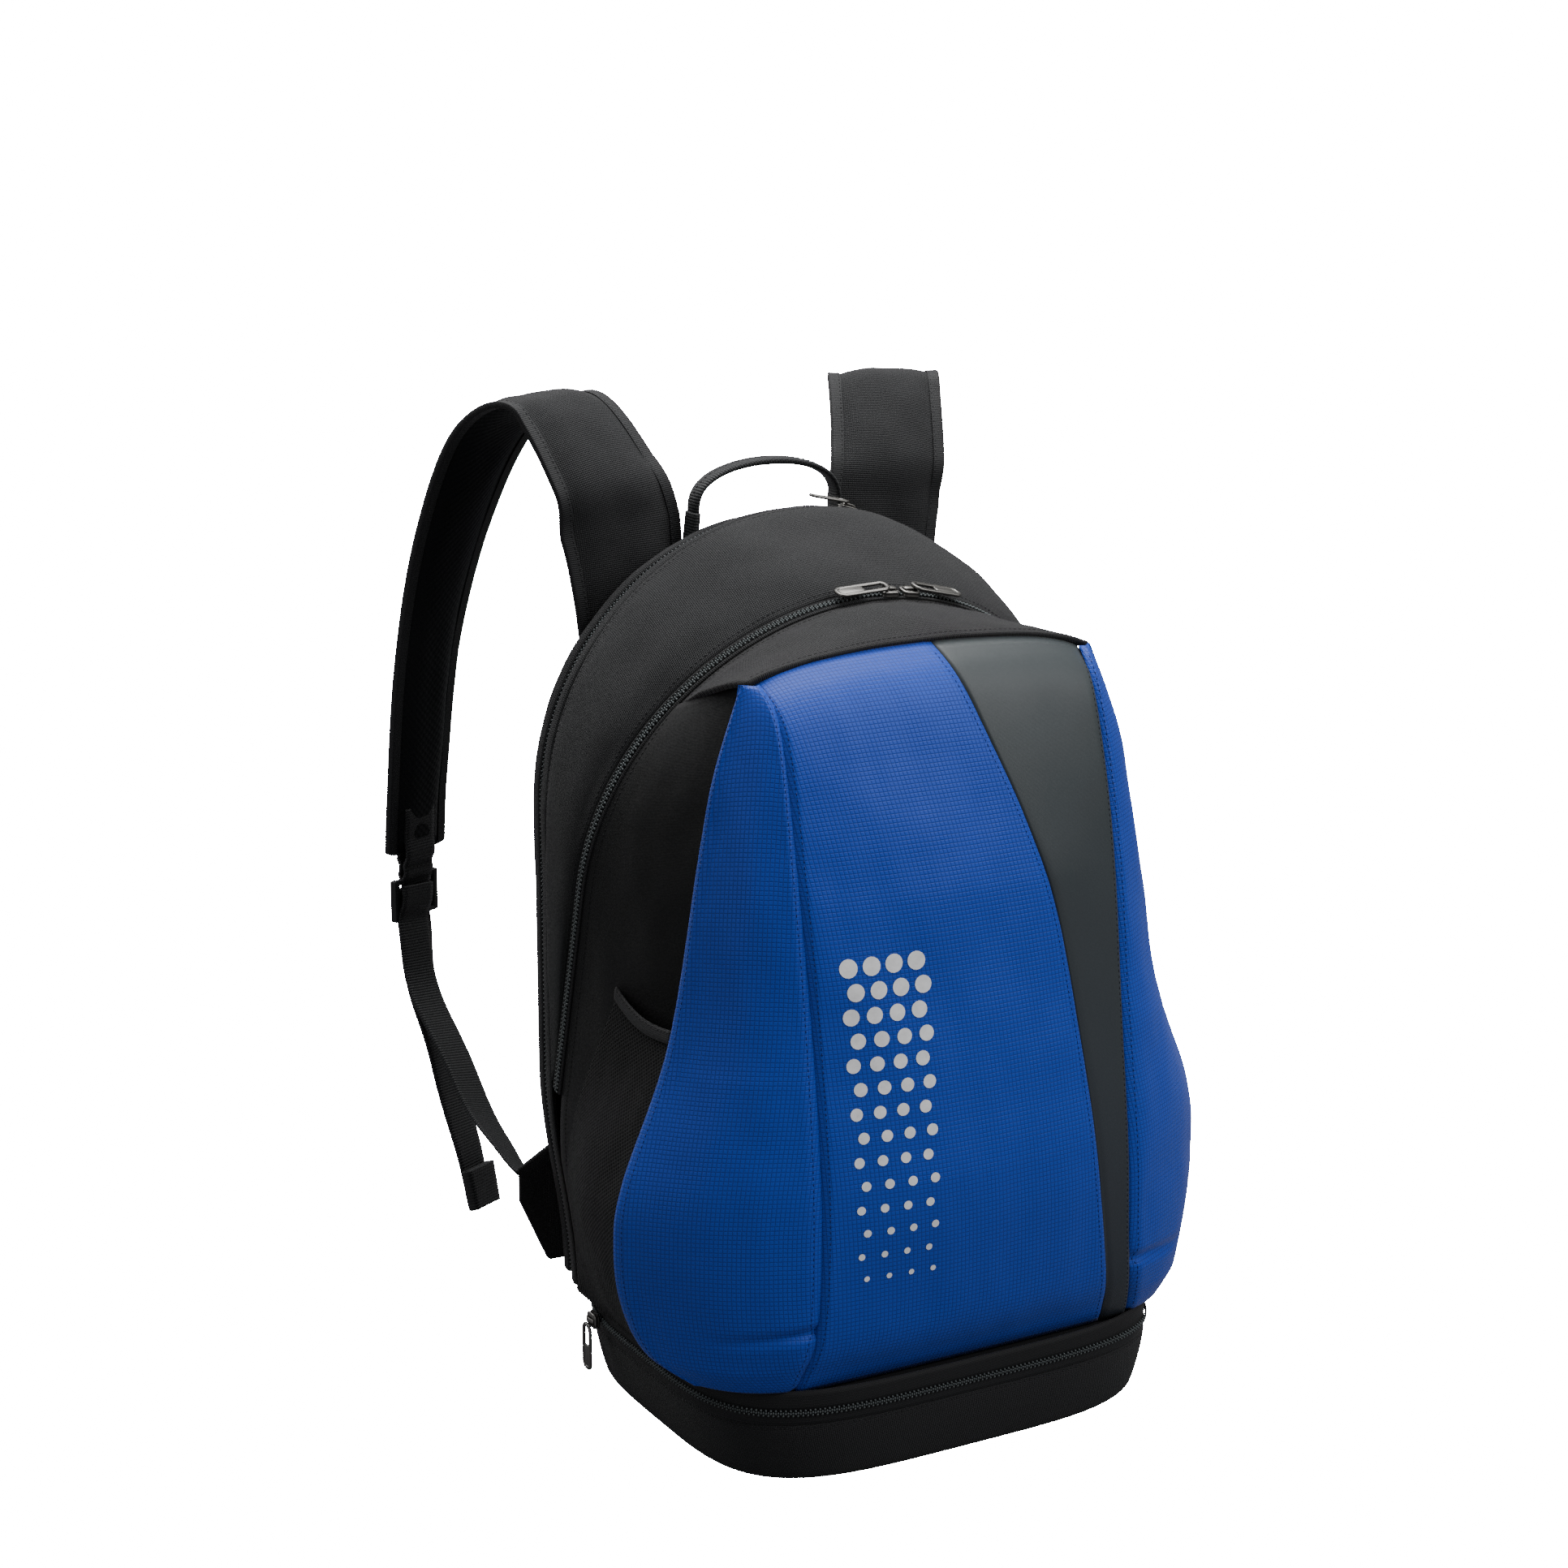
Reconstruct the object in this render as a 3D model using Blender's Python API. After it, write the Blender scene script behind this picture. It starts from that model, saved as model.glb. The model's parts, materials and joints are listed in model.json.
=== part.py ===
"""Racket backpack: soft shell on a shallow base compartment, with zips, pockets and padded shoulder straps.

Metres, +Z up. The origin is on the floor under the middle of the bag. -Y is the front of the bag, +Y is the side
that rests on the wearer's back, and +X is to the right when the front is looked at.
"""

from math import atan2, cos, pi, radians, sin, sqrt

import bmesh
import bpy
from mathutils import Matrix, Vector

# Overall shape
SIDE_X = 0.150            # half width at the main zip and at the seam behind it
ARCH_Z = 0.318            # height at which the half-round top springs from the straight sides
SEAM_Y = 0.066            # seam between the main and the racket compartment
BACK_Y = 0.098            # front face of the back panel
BACK_TAPER = 0.008        # how much smaller the back panel's outline is than the seam's
# Base compartment
BASE_NARROW = 0.012       # how much narrower it is at its zip than the bag above
BASE_FLARE = 0.009        # how much narrower it is where it meets the floor
BASE_FRONT_Y = -0.124        # foremost line of the base, below its flare
BASE_CURVE = 4.0          # exponent of the plan outline
TUB_TOP_Z = 0.036
TUB_WALL = 0.003
BOARD_THICK = 0.0025
TAPE_WIDTH = 0.005
TAPE_THICK = 0.0018
SIDE_BLEND = 0.120        # height over which the sides widen from the base to the full width
# Main zip: a half circle and two straight legs in a plane that leans back
ZIP_TOP_Y = -0.0128
ZIP_DROP = 0.035          # how far its top lies below the top of the bag
ZIP_END_Y = 0.0587
ZIP_END_Z = 0.168
GUSSET_SHORT = 0.036      # how far the padded gusset stops above the zip's end, where it would be too narrow
ZIP_HALF = 0.0045         # from the zip's centre line to the fabric on each side
# Front
FRONT_CORNER = radians(46.5)   # place on the zip's arch over which the front panel's top corner lies
FRONT_ABOVE = 0.02313     # how far the front panel's corners lie above the zip beside them
FRONT_ARCH = 0.008        # rise of the front panel's top edge
FRONT_BULGE = 0.011
WING_BULGE = 0.012
WALL_BULGE = 0.20         # how far the side wall swells out under the wing, as a share of the wing's width
MESH_BULGE = 0.006
POCKET_SHARE = 0.493      # height of the side pocket's mouth as a share of the front's height
# Thicknesses and clearances
PADDED = 0.006
PADDED_LEAN = 0.0032      # how far the padded shell's inner edge leans out past its outer edge
WALL_LEAN = 0.0016        # the same for the side wall beside the zip
FABRIC = 0.0025
MESH = 0.0012
BINDING_WIDE = 0.006
BACK_THICK = 0.006
DIVIDER_THICK = 0.003
GAP = 0.0005              # between pieces that are sewn edge to edge
TRIM = 0.0016             # extra gap where thick pieces meet at an angle
LIFT = 0.0004             # under sliders and other pieces that lie on the fabric
# Racket compartment mouth, in degrees along the arch from the top
MOUTH_FROM = radians(18)
MOUTH_TO = radians(56)
RACKET_ZIP_HALF = 0.0016
MOUTH_PULL = 0.0100       # how far each edge is drawn aside
# Pads, straps and loops
PAD_PROUD = 0.0125
PAD_INSET = 0.008
STRAP_WIDE = 0.070
STRAP_NARROW = 0.048
STRAP_THICK = 0.011
WEBBING_WIDE = 0.025
WEBBING_THICK = 0.0018
HAUL_X = 0.044
HAUL_RISE = 0.026
HAUL_WIDE = 0.012
HAUL_THICK = 0.003
# Zip sliders
SLIDER_LONG = 0.0105
SLIDER_WIDE = 0.0090
SLIDER_HIGH = 0.0046
PULL_LONG = 0.031
SMALL_PULL_LONG = 0.024
BASE_PULL_LONG = 0.027
PULL_WIDE = 0.0100
PULL_THICK = 0.0018
MAIN_SLIDERS = (radians(3.5), radians(8.3))
BASE_SLIDER_Y = 0.040

# Seams of the right side from bottom to top: shares of the half width, depths, shares of the front's height.
FRONT_SEAM_SHARES = ((0.6867, -0.1120, 0.0000), (0.6733, -0.1170, 0.0251), (0.6400, -0.1250, 0.0975),
                     (0.6233, -0.1250, 0.2730), (0.6200, -0.1150, 0.4986), (0.6300, -0.1030, 0.7214),
                     (0.6300, -0.0830, 0.9359), (0.6567, -0.0600, 1.0000))
WING_EDGE_SHARES = ((0.9667, -0.0800, 0.0056), (1.0800, -0.0650, 0.0446), (1.1533, -0.0600, 0.1170),
                    (1.1800, -0.0600, 0.2061), (1.1467, -0.0600, 0.2981), (0.9667, -0.0600, 0.4930),
                    (0.8467, -0.0600, 0.7604), (0.7867, -0.0600, 0.8747), (0.6767, -0.0595, 1.0000))
# The stripe's edge, without depths.
STRIPE_EDGE_SHARES = ((0.5533, 0.0000), (0.4800, 0.1950), (0.4133, 0.4150), (0.3333, 0.6295),
                      (0.2333, 0.7744), (0.1133, 0.9053), (0.0133, 1.0223))
# Centre line of a shoulder strap from its root to the buckle: how far outside the bag's half width, how far behind
# the back panel, how far below the top of the bag.
STRAP_LINE = ((-0.0680, 0.0145, 0.0100), (-0.0620, 0.0200, -0.0170), (-0.0470, 0.0500, -0.0530),
              (-0.0280, 0.0840, -0.0370), (-0.0120, 0.1070, 0.0180), (0.0000, 0.1200, 0.0880),
              (0.0060, 0.1270, 0.1680), (0.0080, 0.1280, 0.2060))
# The same for its webbing, with heights as shares from the anchor up to its start, and for its free end, with how
# far below the buckle.
WEBBING_LINE = ((0.0140, 0.1235, 1.0000), (0.0140, 0.1140, 0.7531), (0.0090, 0.0900, 0.4897),
                (0.0040, 0.0620, 0.2427), (0.0020, 0.0320, 0.0946), (0.0030, 0.0170, 0.0289))
TAIL_LINE = ((0.0100, 0.1295, 0.0200), (0.0080, 0.1250, 0.0560), (0.0030, 0.1100, 0.0960),
             (-0.0010, 0.0900, 0.1410), (-0.0040, 0.0800, 0.1760))
STRAP_TURN = radians(27)  # how far the strap's flat turns towards the side on its way down
BUCKLE_DROP = 0.232       # from the top of the bag down to the buckle
WEBBING_DROP = 0.016      # from the buckle down to the start of the webbing
ANCHOR_Z = 0.0985
ANCHOR_TOP_Z = 0.128
ANCHOR_INNER = 0.032      # how far inside the bag's half width the anchor's long edge lies
ANCHOR_HALF = 0.010       # half the width of its outer end
ROOT_INNER = 0.072        # how far inside the bag's half width each strap's root lies
ROOT_DROP = 0.061
ROOT_TALL = 0.040
ROOT_NARROW = 0.82
PAD_INNER_X = 0.012
PAD_SIDE = 0.050          # how far inside the bag's half width the pads end
PAD_DROP = 0.090          # from the top of the bag down to the upper pads
UPPER_PADS_Z = 0.178
LOWER_PAD_Z = (0.080, 0.160)
PAD_CORNER = 0.016

SHARP_ANGLE = radians(40)
ARCH_SHARE = 0.6          # share of each hoop's length given to its half circle
FLOOR_THICK = 0.002
FLOOR_Z = TUB_TOP_Z + GAP + 2 * TAPE_WIDTH + 2 * GAP + 0.0005
SHELL_Z = FLOOR_Z + FLOOR_THICK + 2 * GAP
TOP_Z = ARCH_Z + SIDE_X
BASE_X = SIDE_X - BASE_NARROW
ZIP_TOP_Z = TOP_Z - ZIP_DROP
ZIP_TILT = atan2(ZIP_END_Y - ZIP_TOP_Y, ZIP_TOP_Z - ZIP_END_Z)
FRONT_LOW_Z = SHELL_Z + 0.001
FRONT_RISE = ZIP_TOP_Z - SIDE_X * cos(ZIP_TILT) * (1 - cos(FRONT_CORNER)) + FRONT_ABOVE - FRONT_LOW_Z
BUCKLE_Z = TOP_Z - BUCKLE_DROP
FRONT_SEAM = [(x * SIDE_X, y, FRONT_LOW_Z + z * FRONT_RISE) for x, y, z in FRONT_SEAM_SHARES]
WING_EDGE = [(x * SIDE_X, y, FRONT_LOW_Z + z * FRONT_RISE) for x, y, z in WING_EDGE_SHARES]
STRIPE_EDGE = [(x * SIDE_X, FRONT_LOW_Z + z * FRONT_RISE) for x, z in STRIPE_EDGE_SHARES]
STRAP_PATH = [(-SIDE_X - x, BACK_Y + y, TOP_Z - z) for x, y, z in STRAP_LINE]
WEBBING_RISE = BUCKLE_Z - WEBBING_DROP - ANCHOR_Z
WEBBING_PATH = [(-SIDE_X - x, BACK_Y + y, ANCHOR_Z + z * WEBBING_RISE) for x, y, z in WEBBING_LINE]
TAIL_PATH = [(-SIDE_X - x, BACK_Y + y, BUCKLE_Z - z) for x, y, z in TAIL_LINE]
UP = Vector((0, -sin(ZIP_TILT), cos(ZIP_TILT)))
NORMAL = Vector((0, cos(ZIP_TILT), sin(ZIP_TILT)))
ZIP_CENTRE = Vector((0, ZIP_TOP_Y, ZIP_TOP_Z)) - UP * SIDE_X
SIDES = (("left", -1), ("right", 1))
BASE_MID_Y = (BACK_Y + BASE_FRONT_Y) / 2
BASE_HALF_Y = (BACK_Y - BASE_FRONT_Y) / 2
LOW_MIDDLE = Vector((0, BASE_MID_Y, 0))
BEHIND = Vector((0, BACK_Y, 0.24))


# Materials and objects

def material(name, colour, roughness, metallic=0.0):
    made = bpy.data.materials.new(name)
    made.use_nodes = True
    shader = made.node_tree.nodes["Principled BSDF"]
    shader.inputs["Base Color"].default_value = (*colour, 1)
    shader.inputs["Roughness"].default_value = roughness
    shader.inputs["Metallic"].default_value = metallic
    return made


def joint_point(name, point, parent=None):
    """An empty on a joint's axis, which the pieces of one moving body hang from."""
    empty = bpy.data.objects.new(name, None)
    bpy.context.scene.collection.objects.link(empty)
    empty["world"] = list(point)
    if parent is None:
        empty.location = point
    else:
        empty.parent = parent
        empty.location = Vector(point) - Vector(parent["world"])
    return empty


def finished(name, bm, surface_finish, joint=None, smooth=True):
    """Turns a bmesh into a named object that hangs from its joint's empty."""
    mesh = bpy.data.meshes.new(name)
    bm.to_mesh(mesh)
    bm.free()
    if smooth:
        mesh.shade_smooth()
        mesh.set_sharp_from_angle(angle=SHARP_ANGLE)
    mesh.materials.append(surface_finish)
    obj = bpy.data.objects.new(name, mesh)
    bpy.context.scene.collection.objects.link(obj)
    if joint is not None:
        obj.parent = joint
        obj.location = -Vector(joint["world"])
    return obj


def through(points, t):
    """A smooth curve through the points, t from 0 to 1, evenly shared between them."""
    spans = len(points) - 1
    place = min(max(t, 0.0), 1.0) * spans
    i = min(int(place), spans - 1)
    f = place - i
    before, start, end, after = (Vector(points[min(max(k, 0), spans)]) for k in (i - 1, i, i + 1, i + 2))
    return 0.5 * (2 * start + (end - before) * f + (2 * before - 5 * start + 4 * end - after) * f ** 2
                  + (3 * start - before - 3 * end + after) * f ** 3)


def at_height(points, z):
    """The point of a rising outline at height z."""
    low, high = 0.0, 1.0
    for _ in range(24):
        middle = (low + high) / 2
        if through(points, middle)[-1] < z:
            low = middle
        else:
            high = middle
    return through(points, (low + high) / 2)


def sheet(name, surface, steps, thickness, cloth, joint=None, middle=(0, 0, 0.24)):
    """A curved panel: a grid moved onto surface(u, v), thickened towards the bag's middle."""
    bm = bmesh.new()
    bmesh.ops.create_grid(bm, x_segments=steps[0], y_segments=steps[1], size=0.5)
    for vert in bm.verts:
        vert.co = surface(vert.co.x + 0.5, vert.co.y + 0.5)
    bm.normal_update()
    facing = sum(face.normal.dot(face.calc_center_median() - Vector(middle)) * face.calc_area()
                 for face in bm.faces)
    if facing < 0:
        bmesh.ops.reverse_faces(bm, faces=bm.faces[:])
    panel = finished(name, bm, cloth, joint)
    layer = panel.modifiers.new("thickness", "SOLIDIFY")
    layer.thickness = thickness
    layer.offset = -1
    return panel


def loft(name, rings, surface_finish, joint=None, joined=False, smooth=True):
    """A solid through closed rings of points, capped at both ends, or joined round into a ring."""
    bm = bmesh.new()
    rows = [[bm.verts.new(point) for point in ring] for ring in rings]
    pairs = list(zip(rows, rows[1:]))
    if joined:
        pairs.append((rows[-1], rows[0]))
    for lower, upper in pairs:
        for i in range(len(lower)):
            k = (i + 1) % len(lower)
            bm.faces.new((lower[i], lower[k], upper[k], upper[i]))
    if not joined:
        bm.faces.new(rows[0])
        bm.faces.new(rows[-1])
    bmesh.ops.recalc_face_normals(bm, faces=bm.faces[:])
    return finished(name, bm, surface_finish, joint, smooth)


def ribbon(name, centre, across, width, thickness, steps, surface_finish, joint=None, turns=1):
    """A flat strap along centre(t), its width along across(t)."""
    rings = []
    for i in range(steps + 1):
        t = i / steps
        tangent = (centre(min(t + 0.01, 1)) - centre(max(t - 0.01, 0))).normalized()
        side = (across(t) - tangent * tangent.dot(across(t))).normalized()
        face = tangent.cross(side)
        middle, half, thick = centre(t), width(t) / 2, thickness(t) / 2
        edge = half - thick * turns
        rings.append([middle + side * x + face * z for x, z in
                      ((-edge, -thick), (edge, -thick), (half, 0), (edge, thick), (-edge, thick), (-half, 0))])
    return loft(name, rings, surface_finish, joint)


def rounded_slot(length, width, corner, steps=3):
    """A rectangle with round corners, centred, as flat points."""
    points = []
    for cx, cy, start in ((1, 1, 0), (-1, 1, 90), (-1, -1, 180), (1, -1, 270)):
        for i in range(steps + 1):
            turn = radians(start + 90 * i / steps)
            points.append((cx * (length / 2 - corner) + corner * cos(turn),
                           cy * (width / 2 - corner) + corner * sin(turn)))
    return points


def framed(place, along, side, up, x, y, z):
    return place + along * x + side * y + up * z


def slider(name, place, along, side, up, metal, joint):
    """A zip slider: a waisted block with a raised bridge on top."""
    rings = []
    for z, grow in ((0, -0.0008), (0.0008, 0), (0.0026, 0), (0.0034, -0.0012), (SLIDER_HIGH, -0.0030)):
        outline = rounded_slot(SLIDER_LONG + 2 * grow, SLIDER_WIDE + 2 * grow * 0.9, 0.0020 + grow * 0.3)
        rings.append([framed(place, along, side, up, x, y, z) for x, y in outline])
    return loft(name, rings, metal, joint)


def pull(name, place, along, side, up, length, metal, joint):
    """A flat ring-shaped zip pull with a long slot, lying from its pivot along the zip."""
    rings = []
    centre = place + along * (length / 2 + 0.0010)
    rim = 0.0024
    for size, z in ((0, 0), (0, PULL_THICK), (rim, PULL_THICK), (rim, 0)):
        outline = rounded_slot(length - 2 * size, PULL_WIDE - 2 * size, 0.0042 - size * 0.9)
        rings.append([framed(centre, along, side, up, x, y, z) for x, y in outline])
    return loft(name, rings, metal, joint, joined=True)


# Outlines that more than one piece follows

def side_x(z):
    """Half width of the bag's sides: narrow at the base, full above."""
    t = min(max((z - SHELL_Z) / SIDE_BLEND, 0), 1)
    return BASE_X - 0.001 + (SIDE_X - BASE_X + 0.001) * t * t * (3 - 2 * t)


def plan(angle, z, grow=0.0):
    """A point of the base's plan outline, at height z."""
    reach = BASE_X - BASE_FLARE * (1 - min(z, TUB_TOP_Z) / TUB_TOP_Z) + grow
    depth = BASE_HALF_Y - BASE_FLARE * 0.6 * (1 - min(z, TUB_TOP_Z) / TUB_TOP_Z) + grow
    c, s = cos(angle), sin(angle)
    r = (abs(c / reach) ** BASE_CURVE + abs(s / depth) ** BASE_CURVE) ** (-1 / BASE_CURVE)
    return Vector((r * c, BASE_MID_Y + r * s, z))


def zip_y(z):
    """Depth of the main zip's centre line where it runs down the side."""
    return ZIP_TOP_Y + (ZIP_TOP_Z - z) * sin(ZIP_TILT) / cos(ZIP_TILT)


def zip_point(u, offset, end_z, out=0.0):
    """A point beside the main zip: u from -1 at its left end to 1 at its right end."""
    side = 1 if u >= 0 else -1
    share = abs(u)
    if share <= ARCH_SHARE:
        turn = side * share / ARCH_SHARE * pi / 2
        return ZIP_CENTRE + (Vector((1, 0, 0)) * sin(turn) + UP * cos(turn)) * (SIDE_X + out) + NORMAL * offset
    leg = (ZIP_CENTRE.z - end_z) / UP.z * (share - ARCH_SHARE) / (1 - ARCH_SHARE)
    return ZIP_CENTRE + Vector((side * (SIDE_X + out), 0, 0)) - UP * leg + NORMAL * offset


def seam_point(u, y, end_z, out=0.0):
    """A point of the half-round outline at depth y, u from -1 at the lower left to 1 at the lower right."""
    side = 1 if u >= 0 else -1
    share = abs(u)
    shrink = BACK_TAPER * (y - SEAM_Y) / (BACK_Y - SEAM_Y) if y > SEAM_Y else 0
    reach = SIDE_X - shrink + out
    if share <= ARCH_SHARE:
        turn = side * share / ARCH_SHARE * pi / 2
        return Vector((reach * sin(turn), y, ARCH_Z + reach * cos(turn)))
    z = ARCH_Z - (ARCH_Z - end_z) * (share - ARCH_SHARE) / (1 - ARCH_SHARE)
    return Vector((side * (side_x(z) - shrink + out), y, z))


def wall_rear(z):
    """Rear edge of the side wall, right side."""
    height = (z - ZIP_CENTRE.z) / UP.z
    x = sqrt(max(SIDE_X ** 2 - height ** 2, 0)) if height > 0 else side_x(z)
    return Vector((x, min(zip_y(z) - ZIP_HALF - WALL_LEAN, SEAM_Y - TRIM), z))


def wall(w, v):
    """Side wall, right side: w from its rear edge to the front seam, v from bottom to top."""
    top_rear = ZIP_CENTRE.z + UP.z * SIDE_X * cos(FRONT_CORNER) - TRIM
    rear = wall_rear(SHELL_Z + (top_rear - SHELL_Z) * v)
    z = SHELL_Z + (FRONT_SEAM[-1][2] - TRIM * 2 - SHELL_Z) * v
    seam = at_height(FRONT_SEAM, z)
    front = Vector((seam.x - 0.004, seam.y + 0.008, z))
    swell = WALL_BULGE * (at_height(WING_EDGE, z).x - seam.x) * sin(pi * w)
    return rear.lerp(front, w) + Vector((swell, 0, 0))


def wing(w, v):
    """Wing panel, right side: w from the front seam to its rear edge, v from bottom to top."""
    z = WING_EDGE[0][2] + (FRONT_SEAM[-1][2] - TRIM - WING_EDGE[0][2]) * v
    start, end = at_height(FRONT_SEAM, z), at_height(WING_EDGE, z)
    chord = end - start
    reach = max(chord.length, 0.001)
    outward = Vector((chord.y, -chord.x, 0)).normalized()
    share = TRIM / reach + (1 - TRIM / reach) * w
    fullness = min(reach / 0.08, 1) ** 1.5
    return start + chord * share + outward * (WING_BULGE * fullness * sin(pi * share))


def mirror(surface, side):
    def turned(u, v):
        point = surface(u, v)
        return Vector((point.x * side, point.y, point.z))
    return turned


# Start from an empty scene.
for old in list(bpy.data.objects):
    bpy.data.objects.remove(old)

BLUE = material("ripstop_blue", (0.010, 0.060, 0.340), 0.5)
SLATE = material("coated_slate", (0.055, 0.065, 0.070), 0.45)
CANVAS = material("canvas_black", (0.022, 0.022, 0.024), 0.8)
LINING = material("lining_black", (0.030, 0.030, 0.034), 0.7)
NET = material("mesh_black", (0.012, 0.012, 0.013), 0.8)
TAPE = material("zip_tape_black", (0.014, 0.014, 0.016), 0.6)
WEBBING = material("webbing_black", (0.022, 0.024, 0.026), 0.65)
METAL = material("gunmetal", (0.19, 0.19, 0.18), 0.35, 1.0)
PLASTIC = material("plastic_black", (0.016, 0.016, 0.017), 0.4)
BOARD = material("stiffener", (0.05, 0.05, 0.05), 0.6)

# Joint axes
HINGE_PACK = joint_point("hinge_pack", (0, BACK_Y, TUB_TOP_Z + TAPE_WIDTH + GAP))
HINGE_COVER = joint_point("hinge_cover", (0, BASE_FRONT_Y - 0.003, FLOOR_Z + 0.001), HINGE_PACK)
HAUL_AXIS = joint_point("hinge_haul", (0, BACK_Y + 0.003, TOP_Z - BACK_TAPER + 0.003), HINGE_PACK)


# Base compartment

def base_compartment():
    turns = [2 * pi * i / 44 for i in range(44)]
    levels = ((0.0, -0.004), (0.003, 0), (0.018, 0.0), (TUB_TOP_Z, 0), (TUB_TOP_Z, -TUB_WALL), (0.018, -TUB_WALL),
              (TUB_WALL, -TUB_WALL), )
    loft("base_tub", [[plan(a, z, grow) for a in turns] for z, grow in levels], CANVAS)
    low = TUB_WALL + GAP
    inset = -TUB_WALL - 0.002
    loft("base_board", [[plan(a, low, inset) for a in turns],
                        [plan(a, low, inset) + Vector((0, 0, BOARD_THICK)) for a in turns]], BOARD)

    def band(z):
        def surface(u, v):
            angle = pi - radians(38) + (pi + 2 * radians(38)) * u
            point = plan(angle, TUB_TOP_Z)
            return Vector((point.x, point.y, z + TAPE_WIDTH * v))
        return surface
    sheet("base_zip_lower", band(TUB_TOP_Z + GAP), (44, 1), TAPE_THICK, TAPE, None, LOW_MIDDLE)
    sheet("base_zip_upper", band(TUB_TOP_Z + TAPE_WIDTH + 2 * GAP), (44, 1), TAPE_THICK, TAPE, HINGE_PACK, LOW_MIDDLE)
    loft("compartment_floor", [[plan(a, TUB_TOP_Z, -0.001) + Vector((0, 0, FLOOR_Z - TUB_TOP_Z + rise))
                                for a in turns] for rise in (0, FLOOR_THICK)], LINING, HINGE_PACK)


# Main shell

def main_shell():
    middle = Vector((0, 0.03, 0.27))
    zip_end = ZIP_END_Z + GUSSET_SHORT

    def gusset(u, v):
        place = 2 * u - 1
        rear = seam_point(place, SEAM_Y - PADDED_LEAN, zip_end - 0.005)
        front = zip_point(place, ZIP_HALF, zip_end)
        point = rear.lerp(front, v)
        outward = (point - Vector((0, point.y, min(point.z, ARCH_Z)))).normalized()
        return point + outward * (0.004 * sin(pi * v))
    sheet("main_gusset", gusset, (40, 3), PADDED, CANVAS, HINGE_PACK, middle)

    def tape(low, high):
        def surface(u, v):
            return zip_point(2 * u - 1, low + (high - low) * v, ZIP_END_Z)
        return surface
    sheet("main_zip_rear", tape(GAP, ZIP_HALF - GAP), (40, 1), TAPE_THICK, TAPE, HINGE_PACK, middle)
    sheet("main_zip_front", tape(-GAP, GAP - ZIP_HALF), (40, 1), TAPE_THICK, TAPE, HINGE_COVER, middle)

    inset = PADDED + 0.0045
    outline = [seam_point(-1 + 2 * i / 32, SEAM_Y, SHELL_Z, -inset) for i in range(33)]
    back_of_divider = SEAM_Y - 0.0025
    loft("divider_panel", [[Vector((p.x, y, p.z)) for p in outline]
                           for y in (back_of_divider - DIVIDER_THICK, back_of_divider)], LINING, HINGE_PACK)
    outline = [seam_point(-1 + 2 * i / 32, BACK_Y, SHELL_Z) for i in range(33)]
    levels = ((BACK_Y, 0.0), (BACK_Y + BACK_THICK * 0.6, 0.0), (BACK_Y + BACK_THICK, 0.0025))
    rings = []
    for y, shrink in levels:
        rings.append([Vector((p.x - shrink * p.x / SIDE_X, y, p.z - shrink * (p.z - ARCH_Z / 2) / ARCH_Z))
                      for p in outline])
    loft("back_panel", rings, LINING, HINGE_PACK)


# Racket compartment

def mouth(turn):
    """0 away from the mouth, 1 in its middle."""
    share = (turn - MOUTH_FROM) / (MOUTH_TO - MOUTH_FROM)
    return sin(pi * share) ** 0.8 if 0 < share < 1 else 0.0


def racket_compartment():
    centre_y = (SEAM_Y + BACK_Y) / 2
    middle = Vector((0, centre_y, 0.26))

    def strip(far, near, way):
        def surface(u, v):
            place = 2 * u - 1
            turn = place / ARCH_SHARE * pi / 2
            edge = near - way * MOUTH_PULL * mouth(turn)
            return seam_point(place, far + (edge - far) * v, SHELL_Z)
        return surface
    sheet("racket_gusset_front", strip(SEAM_Y + GAP, centre_y - RACKET_ZIP_HALF - GAP, 1), (64, 1), FABRIC, CANVAS,
          HINGE_PACK, middle)
    sheet("racket_gusset_rear", strip(BACK_Y - GAP, centre_y + RACKET_ZIP_HALF + GAP, -1), (64, 1), FABRIC, CANVAS,
          HINGE_PACK, middle)

    def closed_zip(start, end):
        def surface(u, v):
            return seam_point(start + (end - start) * u, centre_y + RACKET_ZIP_HALF * (2 * v - 1), SHELL_Z)
        return surface
    per_turn = ARCH_SHARE / (pi / 2)
    sheet("racket_zip_left", closed_zip(-1, MOUTH_FROM * per_turn), (40, 1), TAPE_THICK, TAPE, HINGE_PACK, middle)
    sheet("racket_zip_right", closed_zip(MOUTH_TO * per_turn, 1), (20, 1), TAPE_THICK, TAPE, HINGE_PACK, middle)
    for side, turn, way in (("left", MOUTH_FROM, -1), ("right", MOUTH_TO, 1)):
        slope = BACK_TAPER / (BACK_Y - SEAM_Y)
        reach = SIDE_X - BACK_TAPER / 2 + slope * SLIDER_WIDE / 2 + LIFT
        up = Vector((sin(turn), 0, cos(turn)))
        along = Vector((cos(turn), 0, -sin(turn))) * way
        across = Vector((0, 1, 0))
        place = Vector((0, centre_y, ARCH_Z)) + up * reach + along * (SLIDER_LONG * 0.55)
        axis = joint_point("hinge_racket_slider_" + side, (0, centre_y, ARCH_Z), HINGE_PACK)
        slider("racket_slider_" + side, place, along, across, up, METAL, axis)
        pivot = place + up * (SLIDER_HIGH + LIFT)
        pull_axis = joint_point("hinge_racket_pull_" + side, pivot, axis)
        lean = radians(5)
        low = along * cos(lean) - up * sin(lean)
        pull("racket_pull_" + side, pivot, low, across, along * sin(lean) + up * cos(lean), SMALL_PULL_LONG,
             METAL, pull_axis)


# Front cover

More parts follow.
